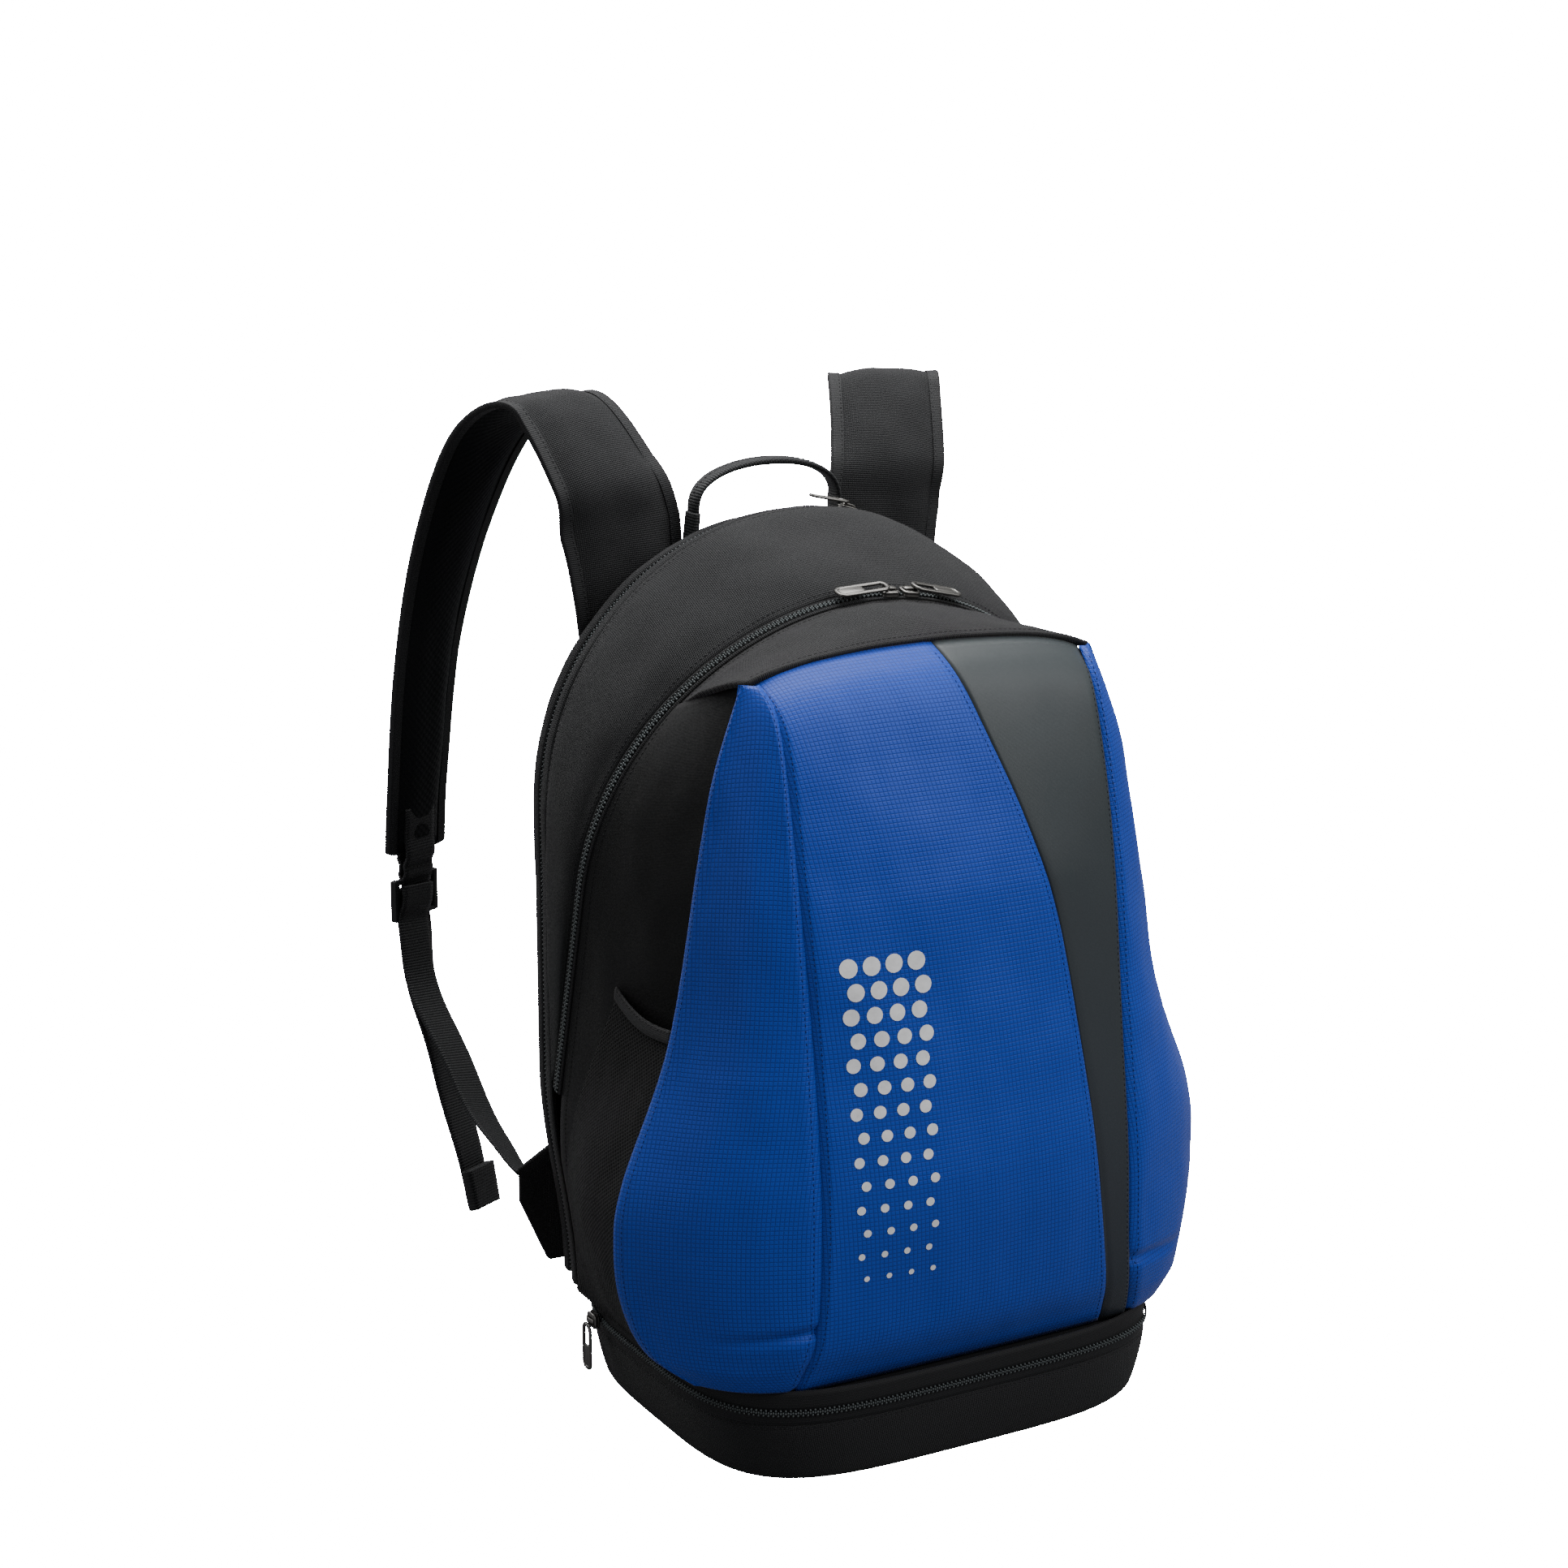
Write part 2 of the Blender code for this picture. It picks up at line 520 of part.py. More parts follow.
def front_cover():
    seam_top = FRONT_SEAM[-1][2]

    def front(x, z, v):
        seam = at_height(FRONT_SEAM, z)
        share = x / seam.x
        swell = FRONT_BULGE * (1 - share * share) * min(1.0, 4 * v * (1 - v) + 0.15)
        return Vector((x, seam.y - swell, z + FRONT_ARCH * (1 - share * share) * v ** 6))

    def panel(u, v):
        z = SHELL_Z + (seam_top - SHELL_Z) * v
        low = -at_height(FRONT_SEAM, z).x + GAP
        high = at_height(STRIPE_EDGE, z).x - GAP
        return front(low + (high - low) * u, z, v)

    def stripe(u, v):
        z = SHELL_Z + (seam_top - SHELL_Z) * v
        low = at_height(STRIPE_EDGE, z).x + GAP
        high = at_height(FRONT_SEAM, z).x - GAP
        return front(low + (high - low) * u, z, v)
    sheet("front_panel", panel, (12, 16), FABRIC, BLUE, HINGE_COVER, middle=BEHIND)
    sheet("front_stripe", stripe, (6, 16), FABRIC, SLATE, HINGE_COVER, middle=BEHIND)

    def band(u, v):
        turn = FRONT_CORNER * (2 * u - 1)
        rear = zip_point((2 * u - 1) * FRONT_CORNER / (pi / 2) * ARCH_SHARE, -ZIP_HALF, ZIP_END_Z)
        x = FRONT_SEAM[-1][0] * turn / FRONT_CORNER
        rise = FRONT_ARCH * (1 - (turn / FRONT_CORNER) ** 2)
        near = Vector((x, FRONT_SEAM[-1][1] - FRONT_BULGE * 0.15 * (1 - (2 * u - 1) ** 2) + TRIM * 1.5,
                       seam_top + rise + TRIM * 0.8))
        point = rear.lerp(near, v)
        return point + Vector((0, 0, 0.003 * sin(pi * v)))
    sheet("top_band", band, (18, 4), PADDED * 0.6, CANVAS, HINGE_COVER, middle=BEHIND)

    def mesh_panel(u, v):
        top = FRONT_LOW_Z + POCKET_SHARE * FRONT_RISE
        front_z = WING_EDGE[0][2] + 0.006 + (top - WING_EDGE[0][2] - 0.006) * v
        edge = at_height(WING_EDGE, front_z)
        rear_v = 0.02 + 0.52 * v
        rear = wall(0.03 + 0.22 * v ** 2, rear_v) + Vector((0.0022, 0, 0))
        front_point = edge + Vector((-0.0018, 0.0040, 0))
        point = rear.lerp(front_point, u)
        swell = MESH_BULGE * sin(pi * u) * sin(pi * min(v * 1.2, 1) * 0.9 + 0.1)
        return point + Vector((swell, 0, 0))

    def binding(u, v):
        low = mesh_panel(u, 1.0)
        return low + Vector((0, 0, GAP + BINDING_WIDE * v))
    for side, way in SIDES:
        sheet("side_wall_" + side, mirror(wall, way), (8, 16), FABRIC, LINING, HINGE_COVER)
        sheet("wing_" + side, mirror(wing, way), (6, 18), FABRIC, BLUE, HINGE_COVER)
        sheet("pocket_mesh_" + side, mirror(mesh_panel, way), (8, 8), MESH, NET, HINGE_COVER)
        sheet("pocket_binding_" + side, mirror(binding, way), (8, 1), MESH, TAPE, HINGE_COVER)


# Main and base zip sliders

def zip_sliders():
    for (side, way), turn in zip(SIDES, MAIN_SLIDERS):
        up = Vector((1, 0, 0)) * sin(turn) + UP * cos(turn)
        along = (Vector((1, 0, 0)) * cos(turn) - UP * sin(turn)) * way
        place = ZIP_CENTRE + up * (SIDE_X + LIFT)
        axis = joint_point("hinge_main_slider_" + side, ZIP_CENTRE, HINGE_PACK)
        slider("main_slider_" + side, place, along, NORMAL, up, METAL, axis)
        pivot = place + up * (SLIDER_HIGH + LIFT)
        pull_axis = joint_point("hinge_main_pull_" + side, pivot, axis)
        lean = radians(6)
        pull("main_pull_" + side, pivot, along * cos(lean) - up * sin(lean), NORMAL,
             along * sin(lean) + up * cos(lean), PULL_LONG, METAL, pull_axis)
    up = Vector((-1, 0, 0))
    along = Vector((0, 1, 0))
    across = Vector((0, 0, 1))
    place = Vector((-BASE_X - LIFT, BASE_SLIDER_Y, TUB_TOP_Z + TAPE_WIDTH + 1.5 * GAP))
    axis = joint_point("slide_base_slider", place)
    slider("base_slider", place, along, across, up, METAL, axis)
    pivot = place + up * (SLIDER_HIGH + LIFT)
    pull_axis = joint_point("hinge_base_pull", pivot, axis)
    pull("base_pull", pivot, -across, along, up, BASE_PULL_LONG, METAL, pull_axis)


# Back pads, haul loop and straps

def back_pads():
    def pad(name, x, z):
        rings = []
        for proud, inset in ((0, 0), (0.55, 0.0005), (0.85, 0.0025), (1.0, PAD_INSET)):
            outline = rounded_slot(x[1] - x[0] - 2 * inset, z[1] - z[0] - 2 * inset, PAD_CORNER - inset * 0.8, 4)
            y = BACK_Y + BACK_THICK + GAP + (PAD_PROUD - GAP) * proud
            rings.append([Vector(((x[0] + x[1]) / 2 + dx, y, (z[0] + z[1]) / 2 + dz)) for dx, dz in outline])
        loft(name, rings, NET, HINGE_PACK)
    reach = SIDE_X - PAD_SIDE
    pad("back_pad_left", (-reach, -PAD_INNER_X), (UPPER_PADS_Z, TOP_Z - PAD_DROP))
    pad("back_pad_right", (PAD_INNER_X, reach), (UPPER_PADS_Z, TOP_Z - PAD_DROP))
    pad("back_pad_lower", (-reach, reach), LOWER_PAD_Z)


def haul_loop():
    foot = HAUL_AXIS["world"]

    def centre(t):
        turn = pi * (1 - t)
        return Vector((HAUL_X * cos(turn), foot[1], foot[2] + HAUL_RISE * sin(turn) ** 0.7))
    ribbon("haul_loop", centre, lambda t: Vector((0, 1, 0)), lambda t: HAUL_WIDE, lambda t: HAUL_THICK, 20,
           WEBBING, HAUL_AXIS)


def strap(side, way):
    def flip(point):
        return Vector((-way * point[0], point[1], point[2]))
    root = flip((0.070 - SIDE_X, BACK_Y + BACK_THICK + 0.008, TOP_Z - 0.028))
    axis = joint_point("hinge_strap_" + side, root, HINGE_PACK)

    def path(points):
        return lambda t: flip(through(points, t))

    def across(t):
        turn = STRAP_TURN * min(t * 1.4, 1)
        return Vector((cos(turn), -way * sin(turn), 0))
    ribbon("strap_pad_" + side, path(STRAP_PATH), across,
           lambda t: STRAP_WIDE + (STRAP_NARROW - STRAP_WIDE) * min(t * 1.15, 1), lambda t: STRAP_THICK, 22,
           CANVAS, axis, turns=0.8)
    flat = Vector((cos(STRAP_TURN), -way * sin(STRAP_TURN), 0))
    for name, points, end_flat in (("strap_webbing_", WEBBING_PATH, Vector((0.2, 0, -way))),
                                   ("strap_tail_", TAIL_PATH, Vector((0.75, -way * 0.65, 0)))):
        ribbon(name + side, path(points), lambda t, end=end_flat: flat.lerp(end, t * t), lambda t: WEBBING_WIDE,
               lambda t: WEBBING_THICK, 16, WEBBING, axis)

    # Flat root of the strap, sewn on the back panel
    rings = []
    low_y = BACK_Y + BACK_THICK + GAP
    for y, inset in ((low_y, 0), (low_y + 0.0045, 0.0005), (low_y + 0.006, 0.003)):
        outline = rounded_slot(STRAP_WIDE - 2 * inset, ROOT_TALL - 2 * inset, 0.004, 2)
        rings.append([flip((ROOT_INNER - SIDE_X + x * ROOT_NARROW, y, TOP_Z - ROOT_DROP + z)) for x, z in outline])
    loft("strap_root_" + side, rings, CANVAS, HINGE_PACK)

    # Ladder lock at the end of the pad: a frame with two slots and a bar between them
    place = flip((-SIDE_X - 0.010, STRAP_PATH[-1][1] - 0.0015, BUCKLE_Z))
    pivot = place + Vector((0, 0, 0.013))
    lock_axis = joint_point("hinge_buckle_" + side, pivot, axis)
    bm = bmesh.new()
    bmesh.ops.create_grid(bm, x_segments=3, y_segments=5, size=0.5)
    stops_x = (-0.0190, -0.0140, 0.0140, 0.0190)
    stops_z = (-0.0130, -0.0095, -0.0045, 0.0005, 0.0085, 0.0120)
    for vert in bm.verts:
        ix = round((vert.co.x + 0.5) * 3)
        iz = round((vert.co.y + 0.5) * 5)
        vert.co = Vector((stops_x[ix], 0, stops_z[iz]))
    holes = [face for face in bm.faces if abs(face.calc_center_median().x) < 0.01
             and (-0.0095 < face.calc_center_median().z < -0.0045 or 0.0005 < face.calc_center_median().z < 0.0085)]
    bmesh.ops.delete(bm, geom=holes, context="FACES")
    turn = Matrix.Rotation(-way * STRAP_TURN, 4, "Z")
    bm.transform(Matrix.Translation(place) @ turn)
    bmesh.ops.recalc_face_normals(bm, faces=bm.faces[:])
    lock = finished("ladder_lock_" + side, bm, PLASTIC, lock_axis, smooth=False)
    thick = lock.modifiers.new("thickness", "SOLIDIFY")
    thick.thickness = 0.0030
    thick.offset = 0

    # Triangle of fabric that holds the webbing's lower end
    inner_x = way * (SIDE_X - ANCHOR_INNER)
    outer_x = way * (SIDE_X + 0.0025)
    low_x = way * (BASE_X - 0.002)
    rings = []
    for y in (BACK_Y + BACK_THICK + GAP, BACK_Y + BACK_THICK + GAP + 0.003):
        outline = ((inner_x, SHELL_Z), (low_x, SHELL_Z), (outer_x, ANCHOR_Z - ANCHOR_HALF),
                   (outer_x, ANCHOR_Z + ANCHOR_HALF), (inner_x, ANCHOR_TOP_Z))
        rings.append([Vector((x, y, z)) for x, z in outline])
    loft("strap_anchor_" + side, rings, CANVAS, HINGE_PACK, smooth=False)


base_compartment()
main_shell()
racket_compartment()
front_cover()
zip_sliders()
back_pads()
haul_loop()
for strap_side, strap_way in SIDES:
    strap(strap_side, strap_way)
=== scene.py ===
# %% [markdown]
# # A racket backpack, sewn in Blender
# The solid model gives every piece its place. Here each piece gets its cloth: panels are grids that a
# formula bends into shape, pads are blown up by a cloth simulation, and zips, stitches and webbing are laid
# along the same seams. Everything is in metres, -Y is the front of the bag, +Y the wearer's back.

# %% Load the frame
import json
from math import cos, pi, radians, sin, sqrt, tan

import bmesh
import bpy
from mathutils import Matrix, Vector, noise
from mathutils.bvhtree import BVHTree

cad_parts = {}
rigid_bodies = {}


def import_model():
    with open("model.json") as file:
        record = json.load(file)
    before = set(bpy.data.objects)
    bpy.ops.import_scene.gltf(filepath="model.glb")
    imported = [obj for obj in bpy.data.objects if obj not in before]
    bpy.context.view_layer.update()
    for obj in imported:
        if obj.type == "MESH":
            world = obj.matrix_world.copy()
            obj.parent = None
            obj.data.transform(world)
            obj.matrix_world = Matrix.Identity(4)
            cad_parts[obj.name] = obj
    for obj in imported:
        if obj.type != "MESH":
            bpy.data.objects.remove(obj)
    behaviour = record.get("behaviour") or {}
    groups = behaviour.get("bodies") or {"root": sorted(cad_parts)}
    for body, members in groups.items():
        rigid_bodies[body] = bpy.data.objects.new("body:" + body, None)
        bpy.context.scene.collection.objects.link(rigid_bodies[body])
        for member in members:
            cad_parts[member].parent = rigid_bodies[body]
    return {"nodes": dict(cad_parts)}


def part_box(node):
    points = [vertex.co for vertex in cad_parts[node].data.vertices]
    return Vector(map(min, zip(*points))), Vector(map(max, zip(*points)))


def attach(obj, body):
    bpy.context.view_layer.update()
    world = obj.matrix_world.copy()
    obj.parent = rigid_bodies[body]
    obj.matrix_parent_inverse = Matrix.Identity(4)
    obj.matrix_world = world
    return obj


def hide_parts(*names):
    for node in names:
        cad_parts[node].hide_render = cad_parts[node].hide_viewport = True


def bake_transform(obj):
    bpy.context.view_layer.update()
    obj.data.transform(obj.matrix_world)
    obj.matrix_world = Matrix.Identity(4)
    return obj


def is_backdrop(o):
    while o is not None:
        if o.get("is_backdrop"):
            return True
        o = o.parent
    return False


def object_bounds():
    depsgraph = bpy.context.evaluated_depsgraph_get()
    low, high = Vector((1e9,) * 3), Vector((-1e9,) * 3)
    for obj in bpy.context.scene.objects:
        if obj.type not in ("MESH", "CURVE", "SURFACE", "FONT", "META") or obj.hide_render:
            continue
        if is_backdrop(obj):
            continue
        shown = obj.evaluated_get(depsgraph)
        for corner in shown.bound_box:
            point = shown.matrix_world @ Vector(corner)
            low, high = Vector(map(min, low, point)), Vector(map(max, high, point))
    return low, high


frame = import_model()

cad_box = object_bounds()
nodes = frame["nodes"]
SIDES = (("left", -1), ("right", 1))

# %% [markdown]
# ## Camera, light and floor
# The camera stands a little left of the front and looks slightly down, with a long lens so that the upright
# sides stay parallel. The light is that of a product shot: a wide soft light over the right shoulder, a
# weak one from the left so that the left side stays dark, and a pale floor that runs off into a pale world.

# %% Camera
camera_data = bpy.data.cameras.new("camera")
camera_data.lens = 74.5
camera_data.sensor_width = 36
camera = bpy.data.objects.new("camera", camera_data)
bpy.context.scene.collection.objects.link(camera)
camera.location = (-0.84683, -1.42284, 0.75579)
camera.rotation_euler = (radians(90 - 14.4), 0, radians(-29.4))
bpy.context.scene.camera = camera
print("camera", camera.location)


# %% Lights and floor
def area_light(name, place, aim, size, power):
    data = bpy.data.lights.new(name, "AREA")
    data.size = size
    data.energy = power
    lamp = bpy.data.objects.new(name, data)
    lamp.location = place
    lamp.rotation_euler = (Vector(aim) - Vector(place)).to_track_quat("-Z", "Y").to_euler()
    bpy.context.scene.collection.objects.link(lamp)


middle = (0, 0, 0.25)
area_light("key_light", (1.1, -1.5, 1.7), middle, 1.4, 40)
area_light("top_light", (0.2, 0.3, 2.0), middle, 1.4, 62)
area_light("left_light", (-1.9, -0.5, 0.9), middle, 1.2, 6)
area_light("rim_light", (-0.6, 1.8, 1.2), middle, 1.2, 16)


def bright_to_camera(tree, shader_socket, lit, seen):
    """A strength that is seen bright but lights little, like a backdrop lit on its own."""
    path = tree.nodes.new("ShaderNodeLightPath")
    spread = tree.nodes.new("ShaderNodeMapRange")
    spread.inputs[3].default_value = lit
    spread.inputs[4].default_value = seen
    tree.links.new(path.outputs["Is Camera Ray"], spread.inputs[0])
    tree.links.new(spread.outputs[0], shader_socket)


world = bpy.data.worlds.new("studio")
world.use_nodes = True
backdrop = world.node_tree.nodes["Background"]
backdrop.inputs["Color"].default_value = (0.97, 0.98, 1.0, 1)
bright_to_camera(world.node_tree, backdrop.inputs["Strength"], 0.20, 60.0)
bpy.context.scene.world = world

floor_mesh = bmesh.new()
bmesh.ops.create_grid(floor_mesh, x_segments=4, y_segments=4, size=60)
floor_data = bpy.data.meshes.new("floor")
floor_mesh.to_mesh(floor_data)
floor_mesh.free()
floor = bpy.data.objects.new("floor", floor_data)
bpy.context.scene.collection.objects.link(floor)
floor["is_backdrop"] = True
print("lights and floor are in")

# %% [markdown]
# ## Cloth finishes
# A woven cloth is threads going over and under each other. One node group works out that pattern from a
# flat map of the cloth in metres, so every fabric can share it at its own thread size. Other groups give
# the ripstop's grid, the ribs of webbing and slow shade changes from handling. The groups put out only
# masks; each material owns its shader.


# %% Helpers for nodes
def group(name, inputs, outputs):
    """An empty shader node group with named value, vector or colour sockets."""
    tree = bpy.data.node_groups.new(name, "ShaderNodeTree")
    kinds = {"v": "NodeSocketVector", "f": "NodeSocketFloat", "c": "NodeSocketColor"}
    for socket, kind in inputs:
        tree.interface.new_socket(name=socket, in_out="INPUT", socket_type=kinds[kind])
    for socket, kind in outputs:
        tree.interface.new_socket(name=socket, in_out="OUTPUT", socket_type=kinds[kind])
    return tree, tree.nodes.new("NodeGroupInput"), tree.nodes.new("NodeGroupOutput")


def add(tree, kind, inputs=(), **settings):
    """A node whose settings and inputs are given by name or number; a socket is linked, a value is set."""
    made = tree.nodes.new(kind)
    for key, value in settings.items():
        setattr(made, key, value)
    for key, value in dict(inputs).items():
        if isinstance(value, bpy.types.NodeSocket):
            tree.links.new(value, made.inputs[key])
        else:
            made.inputs[key].default_value = value
    return made


def calc(tree, operation, a, b=0.0, c=0.0):
    return add(tree, "ShaderNodeMath", {0: a, 1: b, 2: c}, operation=operation).outputs[0]


# %% Weave, grid, rib and shade groups
def waves(tree, vector, pitch):
    """Both directions of the cloth as angles, half a turn per thread."""
    parts = add(tree, "ShaderNodeSeparateXYZ", {0: vector})
    return [calc(tree, "MULTIPLY", calc(tree, "DIVIDE", parts.outputs[axis], pitch), pi) for axis in (0, 1)]


def weave_group():
    tree, start, end = group("Weave", [("Vector", "v"), ("Pitch", "f")], [("Height", "f"), ("Shade", "f")])
    x, y = waves(tree, start.outputs["Vector"], start.outputs["Pitch"])
    crossing = calc(tree, "MULTIPLY", calc(tree, "SINE", x), calc(tree, "SINE", y))
    tree.links.new(calc(tree, "ABSOLUTE", crossing), end.inputs["Height"])
    tree.links.new(calc(tree, "MULTIPLY_ADD", crossing, 0.5, 0.5), end.inputs["Shade"])
    return tree


def grid_group():
    tree, start, end = group("Grid", [("Vector", "v"), ("Pitch", "f"), ("Sharp", "f")], [("Line", "f")])
    x, y = waves(tree, start.outputs["Vector"], start.outputs["Pitch"])
    lines = [calc(tree, "POWER", calc(tree, "ABSOLUTE", calc(tree, "COSINE", side)), start.outputs["Sharp"])
             for side in (x, y)]
    tree.links.new(calc(tree, "MAXIMUM", *lines), end.inputs["Line"])
    return tree


def rib_group():
    tree, start, end = group("Ribs", [("Vector", "v"), ("Pitch", "f")], [("Height", "f"), ("Shade", "f")])
    x, y = waves(tree, start.outputs["Vector"], start.outputs["Pitch"])
    rib = calc(tree, "ABSOLUTE", calc(tree, "SINE", y))
    slanted = calc(tree, "MULTIPLY_ADD", y, 0.5, x)
    thread = calc(tree, "ABSOLUTE", calc(tree, "SINE", slanted))
    height = calc(tree, "MULTIPLY_ADD", rib, 0.7, calc(tree, "MULTIPLY", thread, 0.3))
    tree.links.new(height, end.inputs["Height"])
    tree.links.new(thread, end.inputs["Shade"])
    return tree


def shade_group():
    tree, start, end = group("Shade", [("Colour", "c"), ("Darker", "c"), ("Size", "f"), ("Amount", "f")],
                             [("Colour", "c"), ("Mask", "f")])
    place = add(tree, "ShaderNodeTexCoord")
    inputs = {"Vector": place.outputs["Object"], "Scale": start.outputs["Size"], "Detail": 4.0, "Roughness": 0.6}
    cloud = add(tree, "ShaderNodeTexNoise", inputs)
    amount = calc(tree, "MULTIPLY", cloud.outputs[0], start.outputs["Amount"])
    mix = add(tree, "ShaderNodeMix", {0: amount, 6: start.outputs["Colour"], 7: start.outputs["Darker"]},
              data_type="RGBA")
    tree.links.new(mix.outputs[2], end.inputs["Colour"])
    tree.links.new(cloud.outputs[0], end.inputs["Mask"])
    return tree


WEAVE, GRID, RIBS, SHADE = weave_group(), grid_group(), rib_group(), shade_group()
print("groups:", [g.name for g in bpy.data.node_groups])


# %% Parts that the finishes share
def finish_base(name, roughness, sheen=0.0, metallic=0.0, shine=0.3):
    made = bpy.data.materials.new(name)
    made.use_nodes = True
    shader = made.node_tree.nodes["Principled BSDF"]
    shader.inputs["Roughness"].default_value = roughness
    shader.inputs["Metallic"].default_value = metallic
    shader.inputs["Sheen Weight"].default_value = sheen
    shader.inputs["Sheen Roughness"].default_value = 0.45
    shader.inputs["Specular IOR Level"].default_value = shine
    return made, made.node_tree, shader


def rgba(colour, share=1.0):
    return (colour[0] * share, colour[1] * share, colour[2] * share, 1)


def pattern(tree, shared, inputs):
    """One of the shared groups, laid on the piece's flat map."""
    flat = add(tree, "ShaderNodeUVMap", uv_map="cloth").outputs[0]
    return add(tree, "ShaderNodeGroup", {"Vector": flat, **inputs}, node_tree=shared).outputs


def shaded(tree, colour, darker, size, amount=1.0):
    """A colour that drifts towards a darker one in soft clouds."""
    inputs = {"Colour": colour, "Darker": darker, "Size": size, "Amount": amount}
    return add(tree, "ShaderNodeGroup", inputs, node_tree=SHADE).outputs


def dim_colour(tree, shader, colour, dim):
    """The colour times a brightness, into the shader."""
    grey = add(tree, "ShaderNodeCombineColor", {0: dim, 1: dim, 2: dim}).outputs[0]
    mix = add(tree, "ShaderNodeMix", {0: 1.0, 6: colour, 7: grey}, data_type="RGBA", blend_type="MULTIPLY")
    tree.links.new(mix.outputs[2], shader.inputs["Base Color"])


def raise_threads(tree, shader, height, distance, strength):
    """A height in the pattern becomes relief, by the given distance in metres."""
    bump = add(tree, "ShaderNodeBump", {"Height": height, "Distance": distance, "Strength": strength})
    tree.links.new(bump.outputs[0], shader.inputs["Normal"])


# %% Finishes
def cloth(name, colour, pitch, depth, roughness, sheen, shared=WEAVE, contrast=0.35, cloud=9.0, low=0.72):
    """A woven finish on the piece's own flat map."""
    made, tree, shader = finish_base(name, roughness, sheen)
    threads = pattern(tree, shared, {"Pitch": pitch})
    shade = shaded(tree, rgba(colour), rgba(colour, low), cloud)
    dim = calc(tree, "MULTIPLY_ADD", threads["Shade"], contrast, 1 - contrast / 2)
    dim_colour(tree, shader, shade["Colour"], dim)
    raise_threads(tree, shader, threads["Height"], depth, 0.8)
    return made


def ripstop(name, colour):
    """Fine plain weave with a thicker thread every few millimetres both ways."""
    made, tree, shader = finish_base(name, 0.50, 0.06)
    threads = pattern(tree, WEAVE, {"Pitch": 0.00055})
    lines = pattern(tree, GRID, {"Pitch": 0.0023, "Sharp": 14.0})
    shade = shaded(tree, rgba(colour), rgba(colour, 0.78), 6.0)
    dim_colour(tree, shader, shade["Colour"], calc(tree, "MULTIPLY_ADD", lines["Line"], -0.42, 1.08))
    fine = calc(tree, "MULTIPLY", threads["Height"], 0.12)
    raise_threads(tree, shader, calc(tree, "MULTIPLY_ADD", lines["Line"], -0.7, fine), 0.00022, 0.7)
    return made


def coated_with_painted_shade(name, top, bottom, low_z, high_z):
    """Smooth cloth with a coating and painted shade: darker towards the base, lighter at the top."""
    made, tree, shader = finish_base(name, 0.46, 0.03)
    place = add(tree, "ShaderNodeTexCoord").outputs["Object"]
    height = add(tree, "ShaderNodeSeparateXYZ", {0: place}).outputs[2]
    share = add(tree, "ShaderNodeMapRange", {0: height, 1: low_z, 2: high_z}, clamp=True).outputs[0]
    # painted shade: the colour is mixed by height from the darker bottom colour up to the top colour
    painted_shade_fade = add(tree, "ShaderNodeMix", {0: share, 6: rgba(bottom), 7: rgba(top)}, data_type="RGBA").outputs[2]
    shade = shaded(tree, painted_shade_fade, rgba(bottom), 7.0, 0.25)
    tree.links.new(shade["Colour"], shader.inputs["Base Color"])
    threads = pattern(tree, WEAVE, {"Pitch": 0.0005})
    raise_threads(tree, shader, threads["Height"], 0.00005, 0.5)
    return made


def net(name, colour, pitch, hole):
    """Knitted mesh: round holes in rows, cut out with alpha where a hole size is given."""
    made, tree, shader = finish_base(name, 0.75, 0.03, shine=0.15)
    flat = add(tree, "ShaderNodeUVMap", uv_map="cloth").outputs[0]
    turned = add(tree, "ShaderNodeMapping", {"Vector": flat, "Rotation": (0, 0, pi / 4),
                                             "Scale": (1 / pitch, 1 / pitch, 1)})
    cells = add(tree, "ShaderNodeTexVoronoi", {"Vector": turned.outputs[0], "Scale": 1.0, "Randomness": 0.0},
                voronoi_dimensions="2D").outputs
    if hole > 0:
        tree.links.new(calc(tree, "GREATER_THAN", cells["Distance"], hole), shader.inputs["Alpha"])
    shade = shaded(tree, rgba(colour), rgba(colour, 0.6), 12.0)
    tree.links.new(shade["Colour"], shader.inputs["Base Color"])
    raise_threads(tree, shader, cells["Distance"], 0.0005, 0.9)
    return made


def hard(name, colour, roughness, metallic, grain):
    """Metal or plastic with fine grain and small changes of gloss."""
    made, tree, shader = finish_base(name, roughness, 0.0, metallic)
    shade = shaded(tree, rgba(colour), rgba(colour, 0.55), 160.0, 0.9)
    tree.links.new(shade["Colour"], shader.inputs["Base Color"])
    rough = calc(tree, "MULTIPLY_ADD", shade["Mask"], 0.3, roughness - 0.12)
    tree.links.new(rough, shader.inputs["Roughness"])
    raise_threads(tree, shader, shade["Mask"], grain, 0.5)
    return made


# %% Materials
BLUE = ripstop("blue_ripstop", (0.0012, 0.048, 0.400))
# Slate stripe: its own slate colour, with painted shade making it darker towards the base
SLATE = coated_with_painted_shade("slate_coated", (0.040, 0.048, 0.050), (0.016, 0.020, 0.028), 0.05, 0.42)
CANVAS = cloth("black_canvas", (0.0085, 0.0088, 0.0102), 0.0011, 0.0005, 0.74, 0.06, contrast=1.1, cloud=40.0,
               low=0.5)
